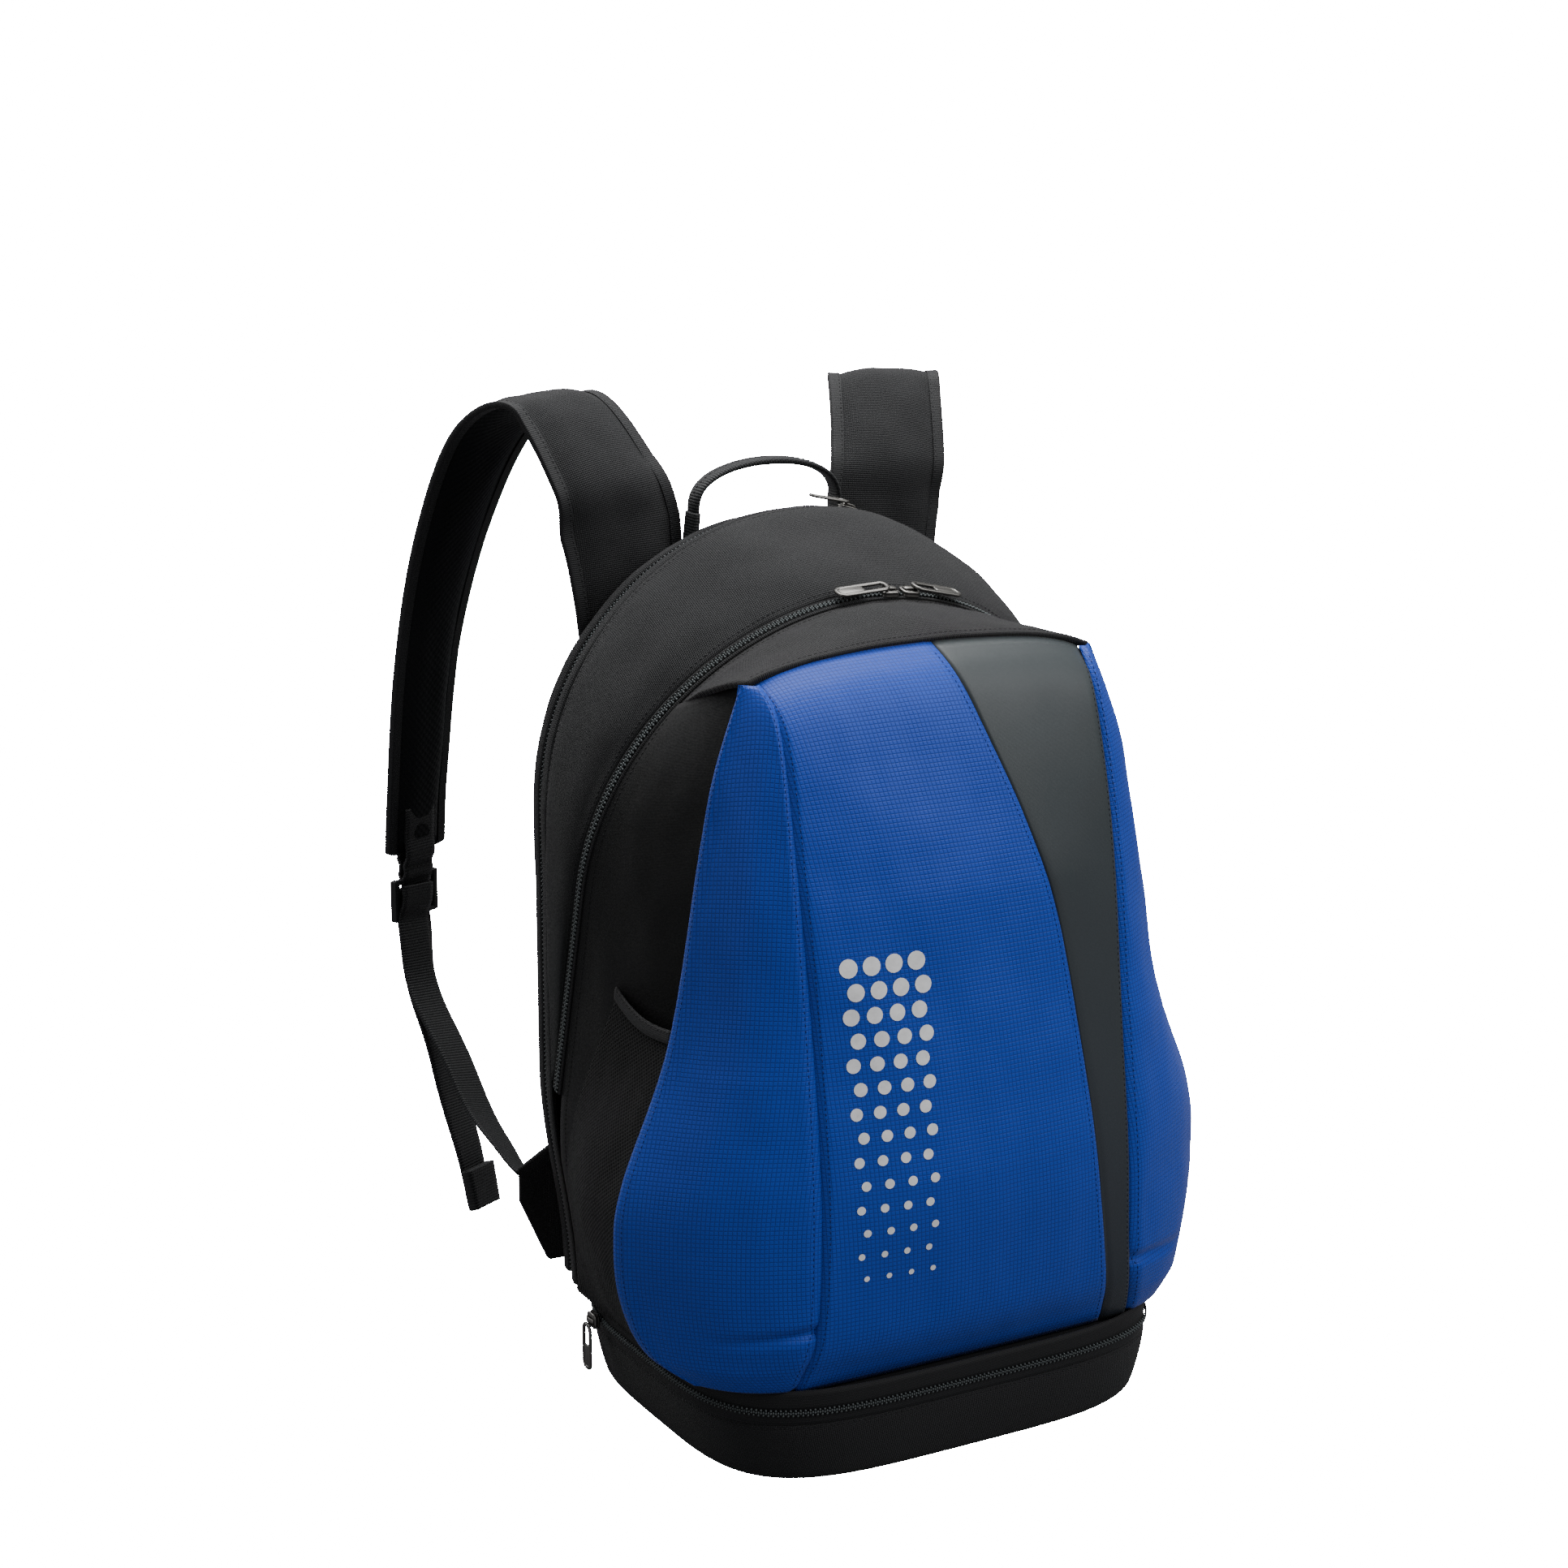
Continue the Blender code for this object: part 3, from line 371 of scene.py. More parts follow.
# Black lining; its darker colour also serves as painted shade on the side walls in the recess behind the wings
LINING_AND_PAINTED_SHADE = cloth("black_lining_and_painted_shade", (0.0022, 0.0022, 0.0028), 0.0006, 0.00015, 0.7, 0.03)
NET = net("pocket_mesh", (0.0075, 0.0075, 0.0083), 0.0021, 0.26)
SPACER = net("spacer_mesh", (0.0050, 0.0055, 0.0070), 0.0032, 0.0)
TAPE = cloth("zip_tape", (0.0050, 0.0050, 0.0060), 0.0009, 0.0002, 0.7, 0.04, RIBS)
BINDING = cloth("twill_binding", (0.0065, 0.0068, 0.0080), 0.0011, 0.00025, 0.65, 0.04, RIBS)
WEBBING = cloth("ribbed_webbing", (0.0080, 0.0090, 0.0100), 0.0016, 0.0005, 0.6, 0.05, RIBS, contrast=0.6)
COIL = hard("nylon_coil", (0.085, 0.098, 0.100), 0.30, 0.0, 0.00005)
METAL = hard("antique_nickel", (0.20, 0.195, 0.185), 0.34, 1.0, 0.00004)
PLASTIC = hard("moulded_black", (0.014, 0.015, 0.016), 0.42, 0.0, 0.00004)
STIFF = hard("stiff_board", (0.03, 0.03, 0.032), 0.6, 0.0, 0.00005)
THREAD_BLUE = hard("thread_blue", (0.006, 0.020, 0.150), 0.6, 0.0, 0.00003)
THREAD_BLACK = hard("thread_black", (0.010, 0.010, 0.012), 0.55, 0.0, 0.00003)
PRINT = hard("white_print", (0.95, 0.95, 0.96), 0.5, 0.0, 0.00002)
FLOOR = hard("pale_floor", (0.20, 0.20, 0.21), 0.6, 0.0, 0.0)
floor.data.materials.append(FLOOR)
floor_shader = FLOOR.node_tree.nodes["Principled BSDF"]
floor_shader.inputs["Emission Color"].default_value = (1, 1, 1, 1)
bright_to_camera(FLOOR.node_tree, floor_shader.inputs["Emission Strength"], 0.0, 60.0)
print("materials:", len(bpy.data.materials))

# %% [markdown]
# ## Seams
# Every panel is cut between seams, so the seams come first, as plain curves. The upper body has two half-
# round hoops: the main zip, in a plane that leans back, and the seam of the racket compartment, which
# stands upright. The cover has two front seams and the rear edges of the two wing panels.

# %% Sizes read from the frame
SIDE_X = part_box("main_zip_front")[1][0]
SEAM_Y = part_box("racket_gusset_front")[0][1] + 0.0001
BACK_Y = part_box("back_panel")[0][1]
BACK_FACE_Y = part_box("back_panel")[1][1]
ARCH_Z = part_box("racket_gusset_front")[1][2] - SIDE_X
BACK_TAPER = SIDE_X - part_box("back_panel")[1][0]
BASE_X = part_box("base_tub")[1][0]
BASE_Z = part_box("base_tub")[1][2]
BASE_MID_Y = (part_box("base_tub")[0][1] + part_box("base_tub")[1][1]) / 2
BASE_HALF_Y = (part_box("base_tub")[1][1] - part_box("base_tub")[0][1]) / 2
SHELL_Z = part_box("front_panel")[0][2]
TAPE_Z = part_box("base_zip_lower")[0][2]
ZIP_TILT = radians(15.1)
ZIP_TOP = Vector((0, -0.0128, 0.433))
ZIP_END_Z = 0.168
ZIP_HALF = 0.0045
UP = Vector((0, -sin(ZIP_TILT), cos(ZIP_TILT)))
NORMAL = Vector((0, cos(ZIP_TILT), sin(ZIP_TILT)))
ZIP_CENTRE = ZIP_TOP - UP * SIDE_X
FRONT_CORNER = radians(46.5)
ROUND_SHARE = 0.6
PER_RADIAN = ROUND_SHARE / (pi / 2)
print("half width", SIDE_X, "arch", ARCH_Z, "seam y", SEAM_Y, "back y", BACK_Y)

FRONT_SEAM = ((0.103, -0.112, 0.052), (0.101, -0.117, 0.061), (0.096, -0.125, 0.087), (0.0935, -0.125, 0.150),
              (0.093, -0.115, 0.231), (0.0945, -0.103, 0.311), (0.0945, -0.083, 0.388), (0.0985, -0.060, 0.411))
WING_EDGE = ((0.145, -0.080, 0.054), (0.162, -0.065, 0.068), (0.173, -0.060, 0.094), (0.177, -0.060, 0.126),
             (0.172, -0.060, 0.159), (0.145, -0.060, 0.229), (0.127, -0.060, 0.325), (0.118, -0.060, 0.366),
             (0.1015, -0.0595, 0.411))
STRIPE_EDGE = ((0.083, 0.052), (0.072, 0.122), (0.062, 0.201), (0.050, 0.278), (0.035, 0.330), (0.017, 0.377),
               (0.002, 0.419))


# %% Curves through a few points
def through(points, t):
    """A smooth curve through the points, t from 0 to 1."""
    spans = len(points) - 1
    place = min(max(t, 0.0), 1.0) * spans
    i = min(int(place), spans - 1)
    f = place - i
    before, start, end, after = (Vector(points[min(max(k, 0), spans)]) for k in (i - 1, i, i + 1, i + 2))
    return 0.5 * (2 * start + (end - before) * f + (2 * before - 5 * start + 4 * end - after) * f ** 2
                  + (3 * start - before - 3 * end + after) * f ** 3)


def at_height(points, z):
    low, high = 0.0, 1.0
    for _ in range(22):
        middle = (low + high) / 2
        if through(points, middle)[-1] < z:
            low = middle
        else:
            high = middle
    return through(points, (low + high) / 2)


def front_edge(z):
    return at_height(FRONT_SEAM, z).x


def stripe_edge(z):
    return at_height(STRIPE_EDGE, z).x


def direction(points, t):
    """Which way a curve runs at t."""
    return (through(points, min(t + 0.01, 1)) - through(points, max(t - 0.01, 0))).normalized()


def side_x(z):
    t = min(max((z - SHELL_Z) / 0.120, 0), 1)
    return BASE_X - 0.001 + (SIDE_X - BASE_X + 0.001) * t * t * (3 - 2 * t)


def plan(angle, z, grow=0.0):
    """The base's outline: a rounded square that flares upwards."""
    flare = 0.009 * (1 - min(z, BASE_Z) / BASE_Z)
    reach, depth = BASE_X - flare + grow, BASE_HALF_Y - flare * 0.6 + grow
    c, s = cos(angle), sin(angle)
    r = (abs(c / reach) ** 4 + abs(s / depth) ** 4) ** -0.25
    return Vector((r * c, BASE_MID_Y + r * s, z))


def zip_y(z):
    return ZIP_TOP.y + (ZIP_TOP.z - z) * tan(ZIP_TILT)


def zip_point(u, offset, end_z, out=0.0):
    """Beside the main zip, u from -1 at its left end to 1 at its right end."""
    side = 1 if u >= 0 else -1
    share = abs(u)
    if share <= ROUND_SHARE:
        turn = side * share / PER_RADIAN
        outward = Vector((sin(turn), 0, 0)) + UP * cos(turn)
        return ZIP_CENTRE + outward * (SIDE_X + out) + NORMAL * offset
    leg = (ZIP_CENTRE.z - end_z) / UP.z * (share - ROUND_SHARE) / (1 - ROUND_SHARE)
    return ZIP_CENTRE + Vector((side * (SIDE_X + out), 0, 0)) - UP * leg + NORMAL * offset


def seam_point(u, y, end_z, out=0.0):
    """The half-round outline at depth y, u from -1 at the lower left to 1 at the lower right."""
    side = 1 if u >= 0 else -1
    share = abs(u)
    shrink = BACK_TAPER * (y - SEAM_Y) / (BACK_Y - SEAM_Y) if y > SEAM_Y else 0
    reach = SIDE_X - shrink + out
    if share <= ROUND_SHARE:
        turn = side * share / PER_RADIAN
        return Vector((reach * sin(turn), y, ARCH_Z + reach * cos(turn)))
    z = ARCH_Z - (ARCH_Z - end_z) * (share - ROUND_SHARE) / (1 - ROUND_SHARE)
    return Vector((side * (side_x(z) - shrink + out), y, z))


def wall_rear(z):
    height = (z - ZIP_CENTRE.z) / UP.z
    x = sqrt(max(SIDE_X ** 2 - height ** 2, 0)) if height > 0 else side_x(z)
    return Vector((x, min(zip_y(z) - ZIP_HALF, SEAM_Y - 0.0006), z))


def wall(w, v, out=0.0):
    """The side wall behind the wing, w from its rear edge to the front seam, v from bottom to top."""
    top_rear = ZIP_CENTRE.z + UP.z * SIDE_X * cos(FRONT_CORNER) - 0.0006
    rear = wall_rear(SHELL_Z + (top_rear - SHELL_Z) * v)
    z = SHELL_Z + (FRONT_SEAM[-1][2] - 0.002 - SHELL_Z) * v
    seam = at_height(FRONT_SEAM, z)
    front = Vector((seam.x - 0.004, seam.y + 0.008, z))
    swell = 0.20 * (at_height(WING_EDGE, z).x - seam.x) * sin(pi * w)
    return rear.lerp(front, w) + Vector((swell + out, 0, 0))


def wing(w, v):
    """The wing panel, w from the front seam to its rear edge, v from bottom to top."""
    z = WING_EDGE[0][2] - 0.001 + (FRONT_SEAM[-1][2] - 0.0028 - WING_EDGE[0][2]) * v
    start, end = at_height(FRONT_SEAM, z), at_height(WING_EDGE, z)
    chord = end - start
    reach = max(chord.length, 0.001)
    outward = Vector((chord.y, -chord.x, 0)).normalized()
    fullness = min(reach / 0.08, 1) ** 1.5
    round_over = sin(pi * w) ** 0.85
    return start + chord * w + outward * (0.012 * fullness * round_over)


print("zip top", zip_point(0, 0, ZIP_END_Z), "wing middle", wing(0.5, 0.4))


# %% [markdown]
# ## Panels of cloth
# A panel starts as a flat grid, and each of its points is moved onto the surface between two seams. Real
# cloth is never that clean, so a panel can also get shallow folds from a smooth noise, fading out at its
# seams where the stitches hold it. The lengths along the finished surface are kept as its flat map, so that
# a weave on it has the same thread size everywhere. Solidify then gives it the cloth's thickness, inwards.

# %% Panel helper
made_pieces = []


def keep(obj, body, slot, *replaced, blend=None):
    """Hangs a piece on its body, or bakes it in place given a blend; hides what it replaces. The slot is not used.
    """
    if blend:
        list(blend)
        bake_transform(obj)
    else:
        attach(obj, body)
    if replaced:
        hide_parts(*replaced)
    made_pieces.append(obj.name)
    return obj


def to_object(name, bm, material, smooth=True):
    mesh = bpy.data.meshes.new(name)
    bm.to_mesh(mesh)
    bm.free()
    if smooth:
        mesh.shade_smooth()
    mesh.materials.append(material)
    obj = bpy.data.objects.new(name, mesh)
    bpy.context.scene.collection.objects.link(obj)
    return obj


def folds(point, normal, amount, size, seed):
    """Shallow folds: two sizes of smooth noise along the normal."""
    place = Vector((point.x / size, point.y / size, point.z / size * 0.6)) + Vector((seed, seed * 1.7, 0))
    return normal * amount * (noise.noise(place) + 0.4 * noise.noise(place * 2.3))


def panel(name, surface, steps, thickness, material, middle=None, wrinkle=0.0, size=0.05, seed=1.0, edge=0.12):
    """A grid moved onto surface(u, v), mapped in metres, folded a little and thickened inwards."""
    across, up = steps
    bm = bmesh.new()
    bmesh.ops.create_grid(bm, x_segments=across, y_segments=up, size=0.5)
    bm.verts.ensure_lookup_table()
    place = {}
    for vert in bm.verts:
        i, j = round((vert.co.x + 0.5) * across), round((vert.co.y + 0.5) * up)
        place[i, j] = vert
        vert.co = surface(i / across, j / up)
    along = {}
    for j in range(up + 1):
        along[0, j] = 0.0
        for i in range(1, across + 1):
            along[i, j] = along[i - 1, j] + (place[i, j].co - place[i - 1, j].co).length
    rise = {}
    for i in range(across + 1):
        rise[i, 0] = 0.0
        for j in range(1, up + 1):
            rise[i, j] = rise[i, j - 1] + (place[i, j].co - place[i, j - 1].co).length
    flat = {}
    centre_column = across // 2
    for (i, j), vert in place.items():
        flat[vert] = (along[i, j] - along[centre_column, j], rise[centre_column, j] * 0.7 + rise[i, j] * 0.3)
    layer = bm.loops.layers.uv.new("cloth")
    for face in bm.faces:
        for loop in face.loops:
            loop[layer].uv = flat[loop.vert]
    bm.normal_update()
    if middle is not None:
        facing = sum(face.normal.dot(face.calc_center_median() - Vector(middle)) * face.calc_area()
                     for face in bm.faces)
        if facing < 0:
            bmesh.ops.reverse_faces(bm, faces=bm.faces[:])
            bm.normal_update()
    if wrinkle:
        moves = {}
        for (i, j), vert in place.items():
            u, v = i / across, j / up
            hold = min(min(u, 1 - u) / edge, min(v, 1 - v) / edge, 1.0)
            moves[vert] = folds(vert.co, vert.normal, wrinkle * hold, size, seed)
        for vert, move in moves.items():
            vert.co += move
    obj = to_object(name, bm, material)
    if thickness:
        layer = obj.modifiers.new("thickness", "SOLIDIFY")
        layer.thickness = thickness
        layer.offset = -1
    return obj


def flipped(surface, side):
    def turned(u, v):
        point = surface(u, v)
        return Vector((point.x * side, point.y, point.z))
    return turned


BAG_MIDDLE = Vector((0, -0.01, 0.24))
COVER_BLEND = ("pack", "cover", (0, -0.03, 0.052), (0, -0.03, 0.150))
print("panel helper ready")


# %% [markdown]
# ### Front panel and stripe
# The blue panel and the slate stripe are sewn edge to edge and share one crowned surface. A seam pulls the
# cloth in on both sides of it, so the surface dips by a millimetre there, and the cloth is tucked in along
# the outer seams.

# %% Front panel and stripe
seam_top = FRONT_SEAM[-1][2]


def front_surface(x, z, v):
    seam = at_height(FRONT_SEAM, z)
    share = min(abs(x / seam.x), 1.0)
    crown = 0.011 * (1 - share ** 2.2) * min(1.0, 4 * v * (1 - v) + 0.15)
    stripe_gap = abs(x - at_height(STRIPE_EDGE, z).x)
    dip = 0.0009 * max(0.0, 1 - stripe_gap / 0.005) ** 1.5
    tuck = 0.0040 * max(0.0, 1 - (seam.x - abs(x)) / 0.0050) ** 2
    corner = 0.0055 * share ** 8 * v ** 12
    return Vector((x, seam.y - crown + dip + tuck, z + 0.008 * (1 - share ** 2) * v ** 6 - corner))


def between(low_of, high_of):
    def surface(u, v):
        z = SHELL_Z + (seam_top - SHELL_Z) * v
        low, high = low_of(z), high_of(z)
        return front_surface(low + (high - low) * u, z, v)
    return surface


BEHIND_FRONT = (0, 0.3, 0.24)
front = panel("blue_front", between(lambda z: -front_edge(z), stripe_edge), (110, 120), 0.0022, BLUE, BEHIND_FRONT,
              wrinkle=0.0011, size=0.035, seed=3.1, edge=0.05)
keep(front, None, "ripstop", "front_panel", blend=COVER_BLEND)
stripe = panel("slate_stripe", between(stripe_edge, front_edge), (30, 110), 0.0022, SLATE, BEHIND_FRONT,
               wrinkle=0.0009, size=0.05, seed=3.1, edge=0.06)
keep(stripe, None, "stripe", "front_stripe", blend=COVER_BLEND)
full_width = between(lambda z: 0.0015 - front_edge(z), lambda z: front_edge(z) - 0.0015)
inner = panel("front_lining", lambda u, v: full_width(u, 0.005 + 0.985 * v) + Vector((0, 0.0045, 0)), (40, 60),
              0.0006, LINING_AND_PAINTED_SHADE, BEHIND_FRONT, wrinkle=0.0008, size=0.05, seed=4.4)
keep(inner, None, "lining", blend=COVER_BLEND)
print("front", len(front.data.polygons), "stripe", len(stripe.data.polygons))


# %% [markdown]
# ### Wings
# Each wing starts at the front seam, swells over the side pocket and ends in a turned hem. Low down a short
# dart takes in the cloth so that the wing can tuck under to the base; there the surface creases.

# %% Wings
DART_Z = 0.088


def wing_cloth(w, v):
    point = wing(w, v)
    near_seam = 0.0040 * max(0.0, 1 - w / 0.07) ** 2
    hem = 0.0012 * max(0.0, 1 - abs(w - 0.94) / 0.05)
    crease = 0.0042 * max(0.0, 1 - abs(point.z - DART_Z + 0.010 * w) / 0.0050) * max(0.0, 1 - w / 0.55) ** 0.7
    pull = Vector((-0.7, 0.7, 0))
    return point + pull * (near_seam + crease - hem)


for side, way in SIDES:
    piece = panel("blue_wing_" + side, flipped(wing_cloth, way), (60, 210), 0.0022, BLUE, BAG_MIDDLE,
                  wrinkle=0.0016, size=0.040, seed=5.3 + way, edge=0.10)
    keep(piece, None, "ripstop", "wing_" + side, blend=COVER_BLEND)
print("wings done")


# %% [markdown]
# ### Black top band, side walls and gusset
# These are black canvas over foam. Foam makes a panel stand full between its seams and drop steeply into
# them, so the swell uses a flat-topped curve. Beside the zip the cloth is folded under and stitched, which
# leaves a narrow raised lip.

# %% Canvas panels
def full(v, power=4):
    """0 at both seams, 1 in between, rising steeply."""
    return 1 - abs(2 * v - 1) ** power


def band_surface(u, v):
    rear = zip_point((2 * u - 1) * FRONT_CORNER * PER_RADIAN, -ZIP_HALF, ZIP_END_Z)
    over_wing = 0.0032 * abs(2 * u - 1) ** 8
    x = (FRONT_SEAM[-1][0] + over_wing) * (2 * u - 1)
    rise = 0.008 * (1 - (2 * u - 1) ** 2) + 0.0006 - 0.0040 * abs(2 * u - 1) ** 8
    near = Vector((x, FRONT_SEAM[-1][1] - 0.0015 * (1 - (2 * u - 1) ** 2), seam_top + rise))
    point = rear.lerp(near, v)
    return point + Vector((0, -0.0015 * v, 0.0030 * full(v, 3) * min(1, v * 3 + 0.2) + 0.0008 * v))


band = panel("black_top_band", band_surface, (90, 30), 0.003, CANVAS, BAG_MIDDLE, wrinkle=0.0014, size=0.03,
             seed=8.2)
keep(band, None, "canvas", "top_band", blend=COVER_BLEND)

# The side walls take the darker lining colour: painted shade for the recess behind the wings
for side, way in SIDES:
    piece = panel("black_side_wall_" + side, flipped(wall, way), (40, 100), 0.0025, LINING_AND_PAINTED_SHADE, BAG_MIDDLE,
                  wrinkle=0.0018, size=0.035, seed=11.0 + way)
    keep(piece, None, "lining", "side_wall_" + side, blend=COVER_BLEND)


def gusset_surface(u, v):
    place = 2 * u - 1
    end_z = ZIP_END_Z + 0.008
    rear = seam_point(place, SEAM_Y - 0.0006, end_z - 0.004)
    front = zip_point(place, ZIP_HALF, end_z)
    point = rear.lerp(front, v)
    outward = (point - Vector((0, point.y, min(point.z, ARCH_Z)))).normalized()
    width = (front - rear).length
    return point + outward * (min(0.0055, width * 0.10) * full(v, 3.5) + 0.0006)


GUSSET_MIDDLE = (0, 0.03, 0.27)
gusset = panel("black_gusset", gusset_surface, (170, 36), 0.004, CANVAS, GUSSET_MIDDLE, wrinkle=0.0022,
               size=0.045, seed=14.4, edge=0.10)
keep(gusset, "pack", "canvas", "main_gusset")
print("canvas panels done")

# %% [markdown]
# ### Racket compartment
# A narrow gusset with a zip along its middle goes round the back. Where a racket's handle would stand, the
# zip is open and its two edges are drawn apart, which leaves a lens-shaped mouth.

# %% Racket gusset and back panel
RACKET_ZIP_Y = (SEAM_Y + BACK_Y) / 2
RACKET_MIDDLE = (0, 0.08, 0.26)
MOUTH_FROM, MOUTH_TO = radians(18), radians(56)


def mouth(turn):
    share = (turn - MOUTH_FROM) / (MOUTH_TO - MOUTH_FROM)
    return sin(pi * share) ** 0.8 if 0 < share < 1 else 0.0


def racket_strip(far, near, way):
    def surface(u, v):
        place = 2 * u - 1
        edge = near - way * 0.0100 * mouth(place / PER_RADIAN)
        lift = 0.0016 * full(v, 4)
        return seam_point(place, far + (edge - far) * v, SHELL_Z, lift)
    return surface


for name, far, near, way in (("racket_gusset_front", SEAM_Y + 0.0002, RACKET_ZIP_Y - 0.0035, 1),
                             ("racket_gusset_rear", BACK_Y + 0.0004, RACKET_ZIP_Y + 0.0035, -1)):
    piece = panel("black_" + name, racket_strip(far, near, way), (190, 10), 0.0024, CANVAS, RACKET_MIDDLE,
                  wrinkle=0.0010, size=0.03, seed=17.0 + way, edge=0.25)
    keep(piece, "pack", "canvas", name)


def back_surface(u, v):
    """The padded back panel: the half-round outline filled in from its centre line."""
    place = 2 * u - 1
    edge = seam_point(place, BACK_Y, SHELL_Z + 0.001, -0.0010)
    hub = Vector((0, BACK_FACE_Y, max(SHELL_Z + 0.001, ARCH_Z if abs(place) <= ROUND_SHARE else edge.z)))
    point = hub.lerp(edge, v)
    return Vector((point.x, BACK_FACE_Y + 0.0002 - 0.0055 * v ** 9, point.z))


back = panel("back_cloth", back_surface, (120, 20), 0.0022, CANVAS, (0, 0, 0.25))
keep(back, "pack", "lining", "back_panel")
print("racket compartment done")


# %% [markdown]
# ## Base
# The base is a shallow tub of black canvas on a stiff board. Its wall bellies a little, its lower edge is
# rounded, and the cloth dips into the zip that runs round the front and sides.

# %% Base tub
def tub_surface(u, v):
    """From the middle of the floor out to the lower edge, then up the wall to the zip."""
    angle = 2 * pi * u
    if v < 0.3:
        reach = v / 0.3
        edge = plan(angle, 0.0, -0.006)
        return Vector((edge.x * reach, BASE_MID_Y + (edge.y - BASE_MID_Y) * reach, 0.0))
    rise = (v - 0.3) / 0.7
    turn = min(rise / 0.3, 1) * pi / 2
    z = 0.006 * (1 - cos(turn)) + max(0.0, rise - 0.3) / 0.7 * (BASE_Z - 0.006)
    grow = -0.006 * (1 - sin(turn)) + 0.0012 * sin(pi * rise) - 0.0012 * max(0.0, rise - 0.92) / 0.08
    return plan(angle, z, grow)


def closed_panel(name, surface, steps, thickness, material, middle, **folding):
    """A panel whose first and last columns meet, sewn together there."""
    obj = panel(name, surface, steps, thickness, material, middle, **folding)
    bm = bmesh.new()
    bm.from_mesh(obj.data)
    bmesh.ops.remove_doubles(bm, verts=bm.verts, dist=1e-5)
    bmesh.ops.dissolve_degenerate(bm, edges=bm.edges, dist=1e-6)
    bm.to_mesh(obj.data)
    bm.free()
    return obj


tub = closed_panel("black_base", tub_surface, (160, 30), 0.0028, CANVAS, (0, BASE_MID_Y, 0.02))
keep(tub, "base", "canvas", "base_tub")
nodes["base_board"].data.materials.clear()
nodes["base_board"].data.materials.append(STIFF)
for name in ("compartment_floor", "divider_panel"):
    nodes[name].data.materials.clear()
    nodes[name].data.materials.append(LINING_AND_PAINTED_SHADE)
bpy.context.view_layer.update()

# %% [markdown]
# ## Zips
# A coil zip is two tapes with a nylon coil sewn along each edge. Seen from outside, the closed coil is a
# chain of small ribs that lean towards each other. Each rib is a tiny stretched ball, repeated along the
# seam, so it has few faces; the tapes under it are narrow ribbed panels.


# %% Chains and stitches
def along_path(path, count, steps=400):
    """Evenly spaced places on path(t), each with its direction."""
    points = [path(i / steps) for i in range(steps + 1)]
    lengths = [0.0]
    for a, b in zip(points, points[1:]):
        lengths.append(lengths[-1] + (b - a).length)
    made, k = [], 0
    for n in range(count):
        target = lengths[-1] * (n + 0.5) / count
        while k < steps - 1 and lengths[k + 1] < target:
            k += 1
        share = (target - lengths[k]) / max(lengths[k + 1] - lengths[k], 1e-9)
        made.append((points[k].lerp(points[k + 1], share), (points[k + 1] - points[k]).normalized()))
    return made, lengths[-1]


def path_length(path):
    return along_path(path, 1)[1]


def beads(name, places, size, material, lean=0.0):
    """Small stretched balls at places, each (point, along, up); size is (along, across, up)."""
    bm = bmesh.new()
    for n, (point, along, up) in enumerate(places):
        across = up.cross(along).normalized()
        up = along.cross(across).normalized()
        turn = Matrix((along, across, up)).transposed().to_4x4()
        tilt = Matrix.Rotation(lean if n % 2 else -lean, 4, "Z")
        matrix = Matrix.Translation(point) @ turn @ tilt @ Matrix.Diagonal((*[s / 2 for s in size], 1))
        bmesh.ops.create_icosphere(bm, subdivisions=1, radius=1.0, matrix=matrix)
    return to_object(name, bm, material)


def coil(name, path, up_at, body, width):
    """Two rows of ribs along a zip's centre line."""
    spots, _ = along_path(path, int(path_length(path) / 0.00125))
    places = []
    for n, (point, along) in enumerate(spots):
        up = up_at(point, along)
        across = up.cross(along).normalized()
        way = 1 if n % 2 else -1
        places.append((point + across * way * width * 0.24 + up * 0.0003, along, up))
    made = beads(name, places, (0.00115, width * 0.62, 0.0015), COIL, lean=0.30)
    return keep(made, body, "zip_tape")


def stitches(name, cloth_piece, path, material, pitch=0.0030, size=(0.0021, 0.00055, 0.0005), sink=0.15):
    """A row of stitches laid on a finished piece of cloth."""
    bm = bmesh.new()
    bm.from_mesh(cloth_piece.data)
    tree = BVHTree.FromBMesh(bm)
    bm.free()
    spots, _ = along_path(path, max(2, int(path_length(path) / pitch)))
    places = []
    for point, along in spots:
        place, normal, _, _ = tree.find_nearest(point)
        places.append((place + normal * size[2] * sink, along, normal))
    return beads(name, places, size, material)


def sew(name, cloth_piece, path, thread, body, slot, blend=None, **row):
    """A row of stitches that moves with the piece it is sewn to."""
    return keep(stitches(name, cloth_piece, path, thread, **row), body, slot, blend=blend)


def outward_up(middle):
    """Up direction for a seam that wraps round the bag: away from the bag's middle, square to the seam."""
    def up(point, along):
        away = point - Vector(middle)
        return (away - along * away.dot(along)).normalized()
    return up


def radial(point, along):
    """Up direction on the half-round hoops."""
    away = Vector((point.x, 0, max(point.z - 0.30, 0.0)))
    return (away - along * away.dot(along)).normalized()


# %% Main zip
def tape(low, high):
    return lambda u, v: zip_point(2 * u - 1, low + (high - low) * v, ZIP_END_Z, -0.0006)


LIP = 0.0011
EDGE = ZIP_HALF + 0.0012


def lip_surface(offset):
    """A thin roll of cloth beside the coil."""
    def surface(u, v):
        turn = 2 * pi * u
        return zip_point(2 * v - 1, offset + LIP * cos(turn), ZIP_END_Z, 0.0004 + LIP * sin(turn))
    return surface


